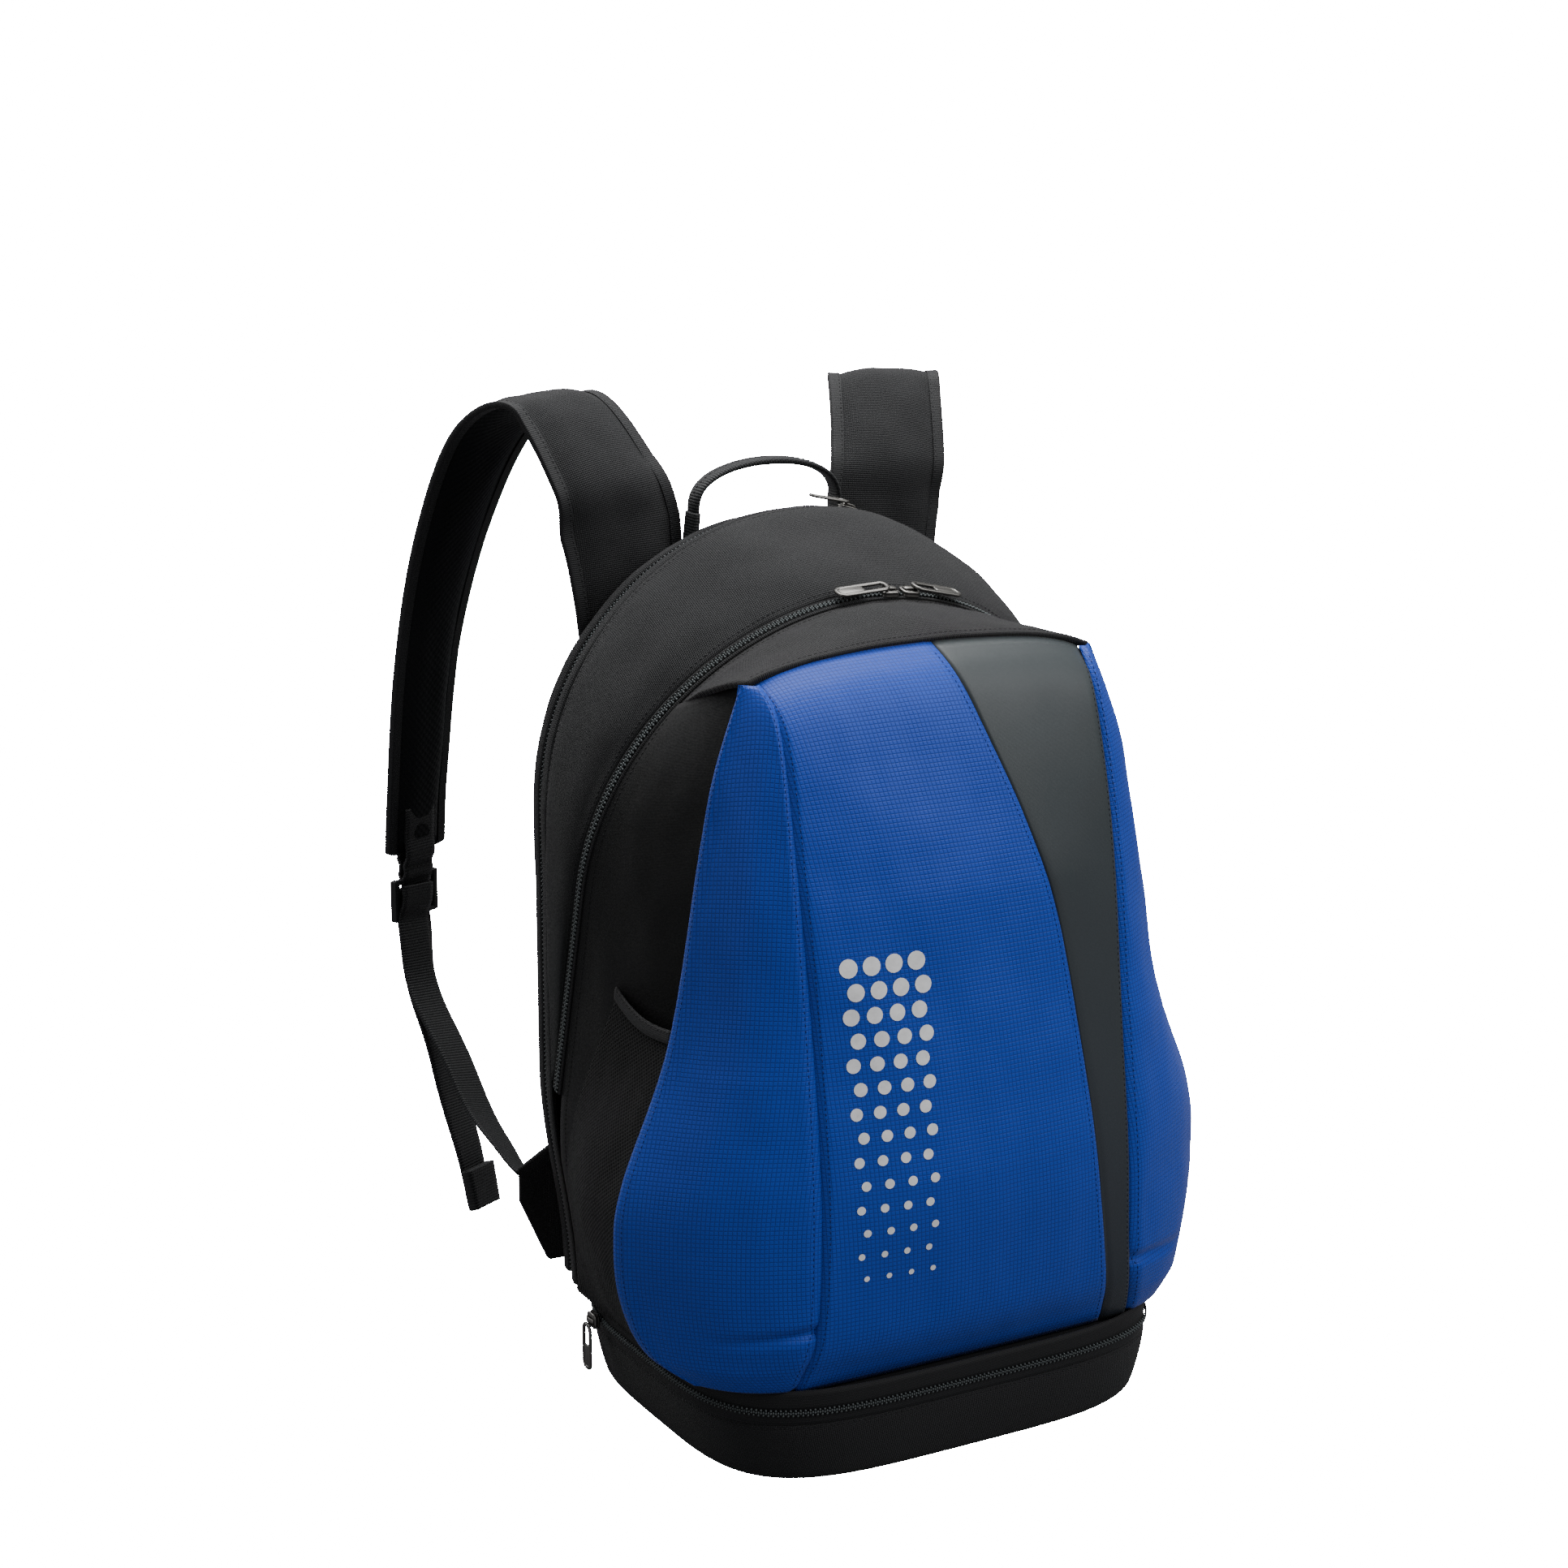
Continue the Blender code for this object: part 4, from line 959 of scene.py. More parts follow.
for name, way, body in (("rear", 1, "pack"), ("front", -1, "cover")):
    piece = panel("main_tape_" + name, tape(0.0002 * way, EDGE * way), (160, 4), 0.0010, TAPE, GUSSET_MIDDLE)
    keep(piece, body, "zip_tape", "main_zip_" + name)
for name, way, body in (("rear", 1, "pack"), ("front", -1, "cover")):
    coil("main_coil_" + name, lambda t, o=0.0009 * way: zip_point(2 * t - 1, o, ZIP_END_Z, 0.0012), radial, body,
         width=0.0034)
for name, way, body in (("rear", 1, "pack"), ("front", -1, "cover")):
    lip = closed_panel("main_zip_lip_" + name, lip_surface(way * (ZIP_HALF - 0.0012)), (8, 220), 0.0, CANVAS,
                       GUSSET_MIDDLE)
    keep(lip, body, "canvas")
print("main zip done")


# %% Racket zip, closed each side of the mouth
def racket_tape(u, v, start, end):
    return seam_point(start + (end - start) * u, RACKET_ZIP_Y - 0.0042 + 0.0084 * v, SHELL_Z, -0.0010)


def racket_coil(t, start, end):
    return seam_point(start + (end - start) * t, RACKET_ZIP_Y, SHELL_Z, -0.0004)


for name, *stretch in (("left", -1.0, MOUTH_FROM * PER_RADIAN), ("right", MOUTH_TO * PER_RADIAN, 1.0)):
    piece = panel("racket_tape_" + name, lambda u, v, ends=stretch: racket_tape(u, v, *ends), (80, 3), 0.0010,
                  TAPE, RACKET_MIDDLE)
    keep(piece, "pack", "zip_tape", "racket_zip_" + name)
    coil("racket_coil_" + name, lambda t, ends=stretch: racket_coil(t, *ends), radial, "pack", width=0.0030)


# %% Base zip
PAST_SIDE = radians(38)


def base_angle(u):
    """The zip starts and ends 38 degrees round towards the back."""
    return pi - PAST_SIDE + (pi + 2 * PAST_SIDE) * u


def base_band(low, high, dip):
    return lambda u, v: plan(base_angle(u), BASE_Z, -dip) + Vector((0, 0, low - BASE_Z + (high - low) * v))


zip_z = TAPE_Z + 0.00525
lower = panel("base_tape_lower", base_band(BASE_Z - 0.001, zip_z - 0.0003, 0.0006), (140, 4), 0.0012, TAPE,
              (0, BASE_MID_Y, 0.04))
keep(lower, "base", "zip_tape", "base_zip_lower")
upper = panel("base_tape_upper", base_band(zip_z + 0.0003, SHELL_Z + 0.002, 0.0006), (140, 4), 0.0012, TAPE,
              (0, BASE_MID_Y, 0.04))
keep(upper, "pack", "zip_tape", "base_zip_upper")
level_up = outward_up((0, BASE_MID_Y, zip_z))
for name, offset, body in (("base_coil_lower", -0.00075, "base"), ("base_coil_upper", 0.00075, "pack")):
    coil(name, lambda t, o=offset: plan(base_angle(t), BASE_Z) + Vector((0, 0, zip_z - BASE_Z + o)), level_up,
         body, width=0.0024)
print("zips done")


# %% [markdown]
# ### Rear hinge of the base
# The zip runs round the front and the sides only. Across the back a strip of canvas joins the tub to the
# bag above, and the bag tips back on it; here the strip is fixed in its resting place.

# %% Hinge cloth
def hinge_surface(u, v):
    angle = radians(40) + radians(100) * u
    low = plan(angle, BASE_Z, -0.0004) - Vector((0, 0, 0.0030))
    high = plan(angle, BASE_Z, 0.0) + Vector((0, 0.0008, SHELL_Z + 0.004 - BASE_Z))
    return low.lerp(high, v) - Vector((0, 0.0016 * sin(pi * v), 0))


hinge = panel("hinge_cloth", hinge_surface, (60, 12), 0.0014, CANVAS, (0, BASE_MID_Y, 0.04))
keep(hinge, None, "canvas", blend=("base", "pack", (0, BACK_Y, BASE_Z), (0, BACK_Y, SHELL_Z)))
print("hinge cloth done")

# %% [markdown]
# ## Side pockets
# A stretch mesh panel closes the gap between the wing's hem and the side wall, with a folded binding along
# its top. The mesh is cut with real round holes in its finish, so the dark wall behind shows through.

# %% Pockets
def mesh_panel(u, v):
    top_z = 0.229
    front_z = WING_EDGE[0][2] - 0.001 + (top_z - WING_EDGE[0][2] + 0.001) * v
    edge = at_height(WING_EDGE, front_z)
    rear = wall(0.015 + 0.235 * v ** 2, 0.54 * v, 0.0016)
    point = rear.lerp(edge + Vector((-0.0024, 0.0012, 0)), u)
    point.z -= 0.002 * (1 - v) ** 12
    return point + Vector((0.006 * sin(pi * u) * sin(pi * min(v * 1.2, 1) * 0.9 + 0.1), 0, 0))


def binding_surface(u, v):
    """A fold of tape over the mesh's top edge: up the outside, over, and down the inside."""
    low = mesh_panel(u, 1.0)
    dip = -0.004 * sin(pi * u)
    turn = pi * v
    return low + Vector((0.0014 * cos(turn), 0, dip + 0.007 * sin(turn) - 0.001))


def pocket_mesh(u, v):
    point = mesh_panel(u, v)
    return point + Vector((0, 0, -0.004 * sin(pi * u) * v ** 4))


def pocket_floor(u, v):
    """Closes the pocket below, from the lower edges of wing and mesh to the lower edge of the side wall."""
    if u < 0.6:
        outer = wing(u / 0.6, 0.0)
    else:
        outer = pocket_mesh(1 - (u - 0.6) / 0.4, 0.0)
    return outer.lerp(wall(1 - u, 0.0), v) + Vector((0, 0, 0.0008))


for side, way in SIDES:
    piece = panel("pocket_floor_" + side, flipped(pocket_floor, way), (50, 8), 0.0010, LINING_AND_PAINTED_SHADE, (0, 0, 0.3))
    keep(piece, None, "lining", blend=COVER_BLEND)
    piece = panel("mesh_pocket_" + side, flipped(pocket_mesh, way), (40, 50), 0.0008, NET, BAG_MIDDLE,
                  wrinkle=0.0012, size=0.03, seed=21.0 + way)
    keep(piece, None, "mesh", "pocket_mesh_" + side, blend=COVER_BLEND)
    piece = panel("pocket_top_" + side, flipped(binding_surface, way), (40, 10), 0.0006, BINDING, None)
    keep(piece, None, "zip_tape", "pocket_binding_" + side, blend=COVER_BLEND)
print("pockets done")

# %% [markdown]
# ## Pads on the back
# These three are foam under spacer mesh. Each starts as a rounded slab a little smaller than the finished
# pad, is remeshed to an even 5 mm, and is blown up by a cloth simulation with no gravity. Points may not
# move further than a few millimetres, and the side that lies on the back panel stays flat.


# %% Blowing up a pad
def rounded_outline(length, width, corner, steps=6):
    points = []
    for cx, cy, start in ((1, 1, 0), (-1, 1, 90), (-1, -1, 180), (1, -1, 270)):
        for i in range(steps + 1):
            turn = radians(start + 90 * i / steps)
            points.append((cx * (length / 2 - corner) + corner * cos(turn),
                           cy * (width / 2 - corner) + corner * sin(turn)))
    return points


def apply_modifiers(obj):
    graph = bpy.context.evaluated_depsgraph_get()
    mesh = bpy.data.meshes.new_from_object(obj.evaluated_get(graph))
    obj.modifiers.clear()
    old = obj.data
    obj.data = mesh
    bpy.data.meshes.remove(old)


def puff(obj, cap, pressure=4.0, frames=20, voxel=0.005):
    """Remesh, inflate by cloth simulation, cap each point's move, and apply."""
    remesh = obj.modifiers.new("remesh", "REMESH")
    remesh.mode = "VOXEL"
    remesh.voxel_size = voxel
    apply_modifiers(obj)
    start = [v.co.copy() for v in obj.data.vertices]
    blow = obj.modifiers.new("cloth", "CLOTH")
    blow.settings.use_pressure = True
    blow.settings.uniform_pressure_force = pressure
    blow.settings.effector_weights.gravity = 0
    scene = bpy.context.scene
    for frame_number in range(1, frames + 1):
        scene.frame_set(frame_number)
    apply_modifiers(obj)
    scene.frame_set(1)
    for vert, rest in zip(obj.data.vertices, start):
        move = vert.co - rest
        if move.length > cap:
            vert.co = rest + move.normalized() * cap
    return obj


def relax(obj, rounds=2):
    """A few smoothing passes, then one subdivision."""
    bm = bmesh.new()
    bm.from_mesh(obj.data)
    for _ in range(rounds):
        bmesh.ops.smooth_vert(bm, verts=bm.verts, factor=0.5, use_axis_x=True, use_axis_y=True,
                              use_axis_z=True)
    bm.to_mesh(obj.data)
    bm.free()
    finer = obj.modifiers.new("finer", "SUBSURF")
    finer.levels = 1
    finer.render_levels = 1
    apply_modifiers(obj)


def flat_map(obj, along, across):
    """A flat map from two directions, for pieces that lie nearly flat."""
    layer = obj.data.uv_layers.new(name="cloth")
    for loop in obj.data.loops:
        point = obj.data.vertices[loop.vertex_index].co
        layer.data[loop.index].uv = (point.dot(along), point.dot(across))


# %% Back pads
def back_pad(name, node, channels):
    low, high = (Vector(c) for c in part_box(node))
    middle_x, middle_z = (low.x + high.x) / 2, (low.z + high.z) / 2
    bm = bmesh.new()
    rings = []
    for y, inset in ((low.y + 0.0008, 0.002), (low.y + 0.006, 0.002), (low.y + 0.009, 0.006)):
        outline = rounded_outline(high.x - low.x - 2 * inset, high.z - low.z - 2 * inset, 0.016)
        rings.append([bm.verts.new((middle_x + x, y, middle_z + z)) for x, z in outline])
    bm.faces.new(rings[0])
    bm.faces.new(rings[-1])
    for a, b in zip(rings, rings[1:]):
        for i in range(len(a)):
            bm.faces.new((a[i], a[(i + 1) % len(a)], b[(i + 1) % len(a)], b[i]))
    bmesh.ops.recalc_face_normals(bm, faces=bm.faces[:])
    pad = to_object(name, bm, SPACER)
    puff(pad, 0.005)
    relax(pad)
    for vert in pad.data.vertices:
        point = vert.co
        point.y = max(point.y, low.y + 0.0003)
        point.x = min(max(point.x, low.x - 0.001), high.x + 0.001)
        point.z = min(max(point.z, low.z - 0.001), high.z + 0.001)
        for axis, line in channels:
            gap = abs((point.x if axis == "x" else point.z) - line)
            if point.y > low.y + 0.003:
                point.y -= 0.0042 * max(0.0, 1 - gap / 0.006) ** 1.5
        point.y = min(point.y, high.y + 0.002)
    pad.data.shade_smooth()
    flat_map(pad, Vector((1, 0, 0)), Vector((0, 0, 1)))
    return keep(pad, "pack", "mesh", node)


for side, way in SIDES:
    back_pad("back_pad_foam_" + side, "back_pad_" + side, [("z", 0.245), ("z", 0.312)])
back_pad("back_pad_foam_lower", "back_pad_lower", [("x", -0.036), ("x", 0.036)])

# %% [markdown]
# ## Shoulder straps
# Each strap leaves the back panel below the haul loop, stands up, turns over and comes down to a ladder
# lock. It is foam between canvas outside and spacer mesh inside, so it is thick along the middle and flat
# at the edges, where a twill tape is folded over both. The upper end is sewn down and the rest of the strap
# swings; here its cloth is fixed in one resting place, and the webbing and ladder lock ride on their own
# bodies.

# %% Strap shape
STRAP_LINE = ((-0.078, 0.1080, 0.388), (-0.0795, 0.1090, 0.425), (-0.082, 0.1125, 0.458),
              (-0.088, 0.118, 0.485), (-0.103, 0.148, 0.521), (-0.122, 0.182, 0.505), (-0.138, 0.205, 0.450),
              (-0.150, 0.218, 0.380), (-0.156, 0.225, 0.300), (-0.158, 0.226, 0.262))
STRAP_TURN = radians(27)
STRAP_LONG = 0.40
STRAP_WIDE, STRAP_NARROWS, ROOT_WIDE = 0.070, 0.022, 0.0574
STRAP_CORNER = 0.006


def past_root(t):
    """0 along the sewn root, then up to 1 at the strap's lower end."""
    return max((t * 9 - 2) / 7, 0)


def strap_frame(t):
    """Centre, across and outward directions of the left strap."""
    tangent = direction(STRAP_LINE, t)
    turn = STRAP_TURN * min(past_root(t) * 1.4, 1)
    across = Vector((cos(turn), sin(turn), 0))
    across = (across - tangent * tangent.dot(across)).normalized()
    return through(STRAP_LINE, t), across, across.cross(tangent)


def strap_half_width(t):
    width = STRAP_WIDE - STRAP_NARROWS * min(past_root(t) * 1.15, 1)
    if t < 2 / 9:
        width = ROOT_WIDE + (STRAP_WIDE - ROOT_WIDE) * t * 4.5
    end = min((1 - t) * STRAP_LONG, t * STRAP_LONG)
    return width / 2 - STRAP_CORNER + sqrt(max(STRAP_CORNER ** 2 - max(STRAP_CORNER - end, 0) ** 2, 0))


def strap_surface(outer):
    def surface(u, v):
        centre, across, out = strap_frame(v)
        half = strap_half_width(v)
        x = (2 * u - 1) * half
        core = max(half - 0.0065, 0.001)
        ends = min(min(v, 1 - v) * STRAP_LONG / 0.014, 1)
        rise = 0.0013 + 0.0040 * (1 - min(abs(x) / core, 1) ** 3.2) * min(1.0, 0.35 + ends * 0.65) * ends
        if v < 0.22:
            rise *= 0.55 + 0.45 * v / 0.22
        return centre + across * x + out * rise * outer
    return surface


def strap_edge(way_out):
    """Tape folded over one edge: from 6 mm in on the outside, round the edge, to 6 mm in on the inside."""
    def surface(u, v):
        centre, across, out = strap_frame(v)
        half = strap_half_width(v)
        turn = (u - 0.5) * 2
        flat = max(abs(turn) - 0.25, 0) / 0.75
        x = half + 0.0006 - 0.0066 * flat
        rise = 0.0019 * min(abs(turn) / 0.25, 1) ** 0.5 * (1 if turn > 0 else -1)
        return centre + across * way_out * x + out * rise
    return surface


print("strap from", strap_frame(0)[0], "to", strap_frame(1)[0])

# %% Strap cloth
STRAP_BLENDS = {side: ("pack", "strap_" + side, (0, 0.108, 0.44), (0, 0.140, 0.44)) for side, _ in SIDES}
for side, way in SIDES:
    mirror = -way
    swing = STRAP_BLENDS[side]
    outer = panel("strap_canvas_" + side, flipped(strap_surface(1), mirror), (30, 190), 0.0012, CANVAS,
                  wrinkle=0.0013, size=0.026, seed=31.0 + way, edge=0.16)
    inner = panel("strap_mesh_" + side, flipped(strap_surface(-1), mirror), (30, 190), 0.0012, SPACER,
                  wrinkle=0.0008, size=0.03, seed=33.0 + way, edge=0.16)
    for piece, sign in ((outer, 1), (inner, -1)):
        wrong = 0
        for face in list(piece.data.polygons)[::40]:
            t = (face.index // 30) / 190
            out = strap_frame(t)[2]
            wrong += face.normal.dot(Vector((-way * out.x, out.y, out.z)) * sign)
        if wrong < 0:
            piece.data.flip_normals()
    keep(outer, None, "canvas", "strap_pad_" + side, "strap_root_" + side, blend=swing)
    keep(inner, None, "mesh", blend=swing)
    for edge_name, edge_way in (("near", 1), ("far", -1)):
        edge = flipped(strap_edge(edge_way), mirror)
        tape_edge = panel("strap_tape_" + edge_name + "_" + side, edge, (12, 190), 0.0, BINDING)
        keep(tape_edge, None, "zip_tape", blend=swing)
        sew("strap_stitch_" + edge_name + "_" + side, tape_edge,
            lambda t, e=edge: e(0.94, 0.02 + 0.96 * t), THREAD_BLACK, None, "zip_tape", swing)
print("straps done")

# %% [markdown]
# ### Webbing, ladder locks and anchors
# Ribbed webbing runs from the ladder lock to a canvas triangle low on the back panel, turning edge-on as it
# goes. Its free end hangs from the lock and is folded over and sewn at the tip.

# %% Webbing
WEBBING_LINE = ((-0.1600, 0.2222, 0.2430), (-0.1612, 0.2218, 0.2320), (-0.1640, 0.2215, 0.220),
                (-0.1640, 0.212, 0.190), (-0.1590, 0.188, 0.158), (-0.1540, 0.160, 0.128),
                (-0.1515, 0.130, 0.110), (-0.1490, 0.1085, 0.0985))
TAIL_LINE = ((-0.1600, 0.2262, 0.2430), (-0.1602, 0.2274, 0.2320), (-0.1600, 0.2275, 0.216),
             (-0.1580, 0.223, 0.180), (-0.1530, 0.208, 0.140), (-0.1490, 0.188, 0.095), (-0.1460, 0.178, 0.060))
STRAP_FLAT = Vector((cos(STRAP_TURN), sin(STRAP_TURN), 0))
TAIL_FLAT = Vector((0.75, 0.65, 0))


def band_along(line, end_flat, width, rise=0.0009):
    """A flat band along the line, u across it and v along it."""
    def surface(u, v):
        centre, tangent = through(line, v), direction(line, v)
        across = STRAP_FLAT.lerp(end_flat, v * v)
        across = (across - tangent * tangent.dot(across)).normalized()
        ripple = 0.0008 * sin(v * 23.0) * sin(pi * v)
        return centre + across * (u - 0.5) * width + tangent.cross(across) * (rise + ripple)
    return surface


for side, way in SIDES:
    upright = band_along(WEBBING_LINE, Vector((0.51, 0.35, -0.54)), 0.025)
    webbing = panel("webbing_" + side, flipped(upright, -way), (8, 150), 0.0018, WEBBING)
    keep(webbing, "strap_" + side, "webbing", "strap_webbing_" + side)
    hanging = band_along(TAIL_LINE, TAIL_FLAT, 0.025)
    tail = panel("webbing_tail_" + side, flipped(hanging, -way), (8, 140), 0.0018, WEBBING)
    keep(tail, "strap_" + side, "webbing", "strap_tail_" + side)
    tip = flipped(band_along(TAIL_LINE, TAIL_FLAT, 0.028, 0.0026), -way)
    fold = panel("webbing_tip_" + side, lambda u, v: tip(u, 0.885 + 0.115 * v), (8, 16), 0.0052, WEBBING)
    keep(fold, "strap_" + side, "webbing")
    sew("tip_stitch_" + side, fold, lambda t, tip=tip: tip(0.06 + 0.88 * t, 0.905), THREAD_BLACK, "strap_" + side,
        "webbing", pitch=0.0026)

# %% Sewn end of the strap and ladder lock
LOCK_AT = Vector((-0.1600, 0.2245, 0.236))
LOCK_TOP = (-0.1600, 0.2245, 0.2412)
TAB_LINE = ((-0.1570, 0.2222, 0.288), (-0.1578, 0.2215, 0.262), (-0.1592, 0.2228, 0.249), LOCK_TOP)
TAB_BACK = ((-0.1570, 0.2312, 0.288), (-0.1578, 0.2318, 0.262), (-0.1592, 0.2276, 0.249), LOCK_TOP)
BOX = ((0.1, 0.04), (0.9, 0.04), (0.9, 0.50), (0.1, 0.50))
BOX_AND_CROSS = [(BOX[i], BOX[(i + 1) % 4]) for i in range(4)] + [(BOX[0], BOX[2]), (BOX[1], BOX[3])]


def tab_row(start, end, way):
    """A straight row on the tab from one place to another, each given across and along it."""
    tab_face = flipped(band_along(TAB_BACK, STRAP_FLAT, 0.024, 0.0), way)
    return lambda t: tab_face(start[0] + (end[0] - start[0]) * t, start[1] + (end[1] - start[1]) * t)


def bar(bm, low, high):
    """A block between two corners."""
    matrix = Matrix.Translation([(a + b) / 2 for a, b in zip(low, high)])
    matrix @= Matrix.Diagonal((*[b - a for a, b in zip(low, high)], 1))
    bmesh.ops.create_cube(bm, size=1, matrix=matrix)


for side, way in SIDES:
    for name, line in (("inner", TAB_LINE), ("outer", TAB_BACK)):
        tab = panel("strap_tab_" + name + "_" + side, flipped(band_along(line, STRAP_FLAT, 0.024, 0.0), -way),
                    (8, 30), 0.0016, WEBBING)
        keep(tab, "strap_" + side, "webbing")
    for n, (start, end) in enumerate(BOX_AND_CROSS):
        sew("tab_stitch_" + str(n) + "_" + side, tab, tab_row(start, end, -way), THREAD_BLACK, "strap_" + side,
            "webbing", pitch=0.0024, size=(0.0018, 0.0006, 0.0006))
    bm = bmesh.new()
    for x in (-0.0165, 0.0165):
        bar(bm, (x - 0.0022, -0.0022, -0.0125), (x + 0.0022, 0.0022, 0.0118))
    for z, half, deep in ((0.0100, 0.0015, 0.0018), (0.0008, 0.0046, 0.0010), (-0.0112, 0.0015, 0.0022)):
        bar(bm, (-0.0165, -deep, z - half), (0.0165, deep, z + half))
    place = Vector((-way * LOCK_AT.x, LOCK_AT.y, LOCK_AT.z))
    bm.transform(Matrix.Translation(place) @ Matrix.Rotation(-way * STRAP_TURN, 4, "Z"))
    lock = to_object("ladder_lock_shaped_" + side, bm, PLASTIC)
    soft = lock.modifiers.new("round", "BEVEL")
    soft.width = 0.0009
    soft.segments = 3
    keep(lock, "buckle_" + side, "buckle", "ladder_lock_" + side)


# %% Anchors
def anchor_surface(u, v):
    x = 0.1180 + 0.0345 * u
    low = SHELL_Z + 0.0006 + (0.0885 - SHELL_Z) * max(x - 0.136, 0) / 0.0165
    high = 0.128 - 0.0195 * u
    return Vector((x, 0.1068 + 0.0012 * sin(pi * v) * sin(pi * u), low + (high - low) * v))


for side, way in SIDES:
    patch = flipped(anchor_surface, way)
    anchor = panel("anchor_canvas_" + side, patch, (24, 30), 0.0022, CANVAS, (0, 0, 0.08), wrinkle=0.0006,
                   size=0.02, seed=41.0 + way)
    keep(anchor, "pack", "canvas", "strap_anchor_" + side)
    for n, u in enumerate((0.08, 0.80, 0.90)):
        sew("anchor_stitch_" + str(n) + "_" + side, anchor, lambda t, u=u, patch=patch: patch(u, 0.06 + 0.88 * t),
            THREAD_BLACK, "pack", "canvas")
print("webbing, locks and anchors done")

# %% [markdown]
# ## Haul loop
# A loop of rolled webbing above the back panel, stitched into its top seam.

# %% Haul loop
LOOP_FOOT = Vector((0, 0.101, 0.463))


def loop_rise(turn):
    return max(sin(turn), 0) ** 0.7


def loop_surface(u, v):
    turn = pi * (1 - v)
    centre = Vector((0.044 * cos(turn), LOOP_FOOT.y, LOOP_FOOT.z + 0.026 * loop_rise(turn)))
    ahead = pi * (1 - min(v + 0.01, 1))
    behind = pi * (1 - max(v - 0.01, 0))
    along = Vector((cos(ahead) - cos(behind), 0, 0.6 * (loop_rise(ahead) - loop_rise(behind))))
    out = Vector((-along.z, 0, along.x)).normalized()
    round_turn = 2 * pi * u
    side, up = cos(round_turn), sin(round_turn)
    squash = (abs(side) ** 3 + abs(up) ** 3) ** (-1 / 3)
    thick = 0.0015 + 0.0006 * sin(pi * v) ** 2
    return centre + Vector((0, 1, 0)) * side * squash * 0.006 + out * up * squash * thick


def foot_surface(u, v):
    return LOOP_FOOT + Vector((0.0458 + 0.004 * v, 0.012 * (u - 0.5), 0.0015 - 0.034 * v))


loop = closed_panel("haul_webbing", loop_surface, (20, 90), 0.0, WEBBING, LOOP_FOOT)
keep(loop, "haul_loop", "webbing", "haul_loop")
for side, way in SIDES:
    foot = panel("haul_foot_" + side, flipped(foot_surface, way), (6, 20), 0.0032, WEBBING,
                 (0, LOOP_FOOT.y, 0.45))
    keep(foot, "pack", "webbing")
sew("haul_stitch", loop, lambda t: loop_surface(0.25, 0.08 + 0.84 * t), THREAD_BLACK, "haul_loop", "webbing",
    pitch=0.0034)
print("haul loop done")

# %% [markdown]
# ## Sliders and pulls
# Five sliders ride the coils. Each is a waisted block with a bridge over it; a flat pull hangs from the
# bridge, an open frame near the bridge and a plain plate at its far end.


# %% Sliders and pulls
def lofted(name, rings, material, joined=False):
    bm = bmesh.new()
    rows = [[bm.verts.new(point) for point in ring] for ring in rings]
    pairs = list(zip(rows, rows[1:])) + ([(rows[-1], rows[0])] if joined else [])
    for a, b in pairs:
        for i in range(len(a)):
            k = (i + 1) % len(a)
            bm.faces.new((a[i], a[k], b[k], b[i]))
    if not joined:
        bm.faces.new(rows[0])
        bm.faces.new(rows[-1])
    bmesh.ops.recalc_face_normals(bm, faces=bm.faces[:])
    return to_object(name, bm, material)


def zip_slider(name, place, along, side, up, body):
    def ring(z, grow, squeeze=0.0):
        outline = rounded_outline(0.0105 + 2 * grow, 0.0088 + 2 * grow, 0.0024 + grow * 0.4)
        waist = [1 - squeeze * (1 - (x / 0.006) ** 2) * 0.4 for x, _ in outline]
        return [place + along * x + side * y * w + up * z for (x, y), w in zip(outline, waist)]

    rings = [ring(0.0002, -0.0008), ring(0.0006, -0.0002), ring(0.0014, 0), ring(0.0022, -0.0006, 0.5),
             ring(0.0028, 0, 0.3), ring(0.0033, -0.0002), ring(0.0036, -0.0010)]
    block = lofted(name + "_block", rings, METAL)
    keep(block, body, "gunmetal", name)
    arch = []
    for n in range(13):
        turn = pi * n / 12
        centre = place + along * (-0.0038 * cos(turn)) + up * (0.0034 + 0.0012 * sin(turn) ** 0.6)
        out = (-along * cos(turn) * 0.6 + up * (0.4 + sin(turn))).normalized()
        arch.append([centre + side * a * 0.0014 + out * b * 0.0005 for a, b in
                     ((-1, -1), (1, -1), (1.2, 0), (1, 1), (-1, 1), (-1.2, 0))])
    keep(lofted(name + "_bridge", arch, METAL), body, "gunmetal")


def zip_pull(name, pivot, along, side, up, length, body):
    centre = pivot + along * (length / 2 + 0.0010)
    rings = []
    for size, z in ((0.0005, 0.0001), (0, 0.0005), (0, 0.0013), (0.0005, 0.0018), (0.0018, 0.0018),
                    (0.0023, 0.0013), (0.0023, 0.0005), (0.0018, 0.0001)):
        outline = rounded_outline(length - 2 * size, 0.0100 - 2 * size, 0.0042 - size * 0.9, 8)
        rings.append([centre + along * x + side * y + up * z for x, y in outline])
    keep(lofted(name + "_frame", rings, METAL, joined=True), body, "gunmetal", name)
    rings = []
    for inset, z in ((0.0006, 0.0003), (0, 0.0006), (0, 0.0012), (0.0006, 0.0015)):
        outline = rounded_outline(length * 0.46 - 2 * inset, 0.0072 - 2 * inset, 0.0018, 4)
        rings.append([centre + along * (x + length * 0.20) + side * y + up * z for x, y in outline])
    keep(lofted(name + "_plate", rings, METAL), body, "gunmetal")


def slider_and_pull(name, place, along, across, up, lean, length):
    """A slider with its pull, which leans up from the zip by the given angle."""
    zip_slider(name.format("slider"), place, along, across, up, name.format("slider"))
    zip_pull(name.format("pull"), place + up * 0.0050, along * cos(lean) - up * sin(lean), across,
             along * sin(lean) + up * cos(lean), length, name.format("pull"))


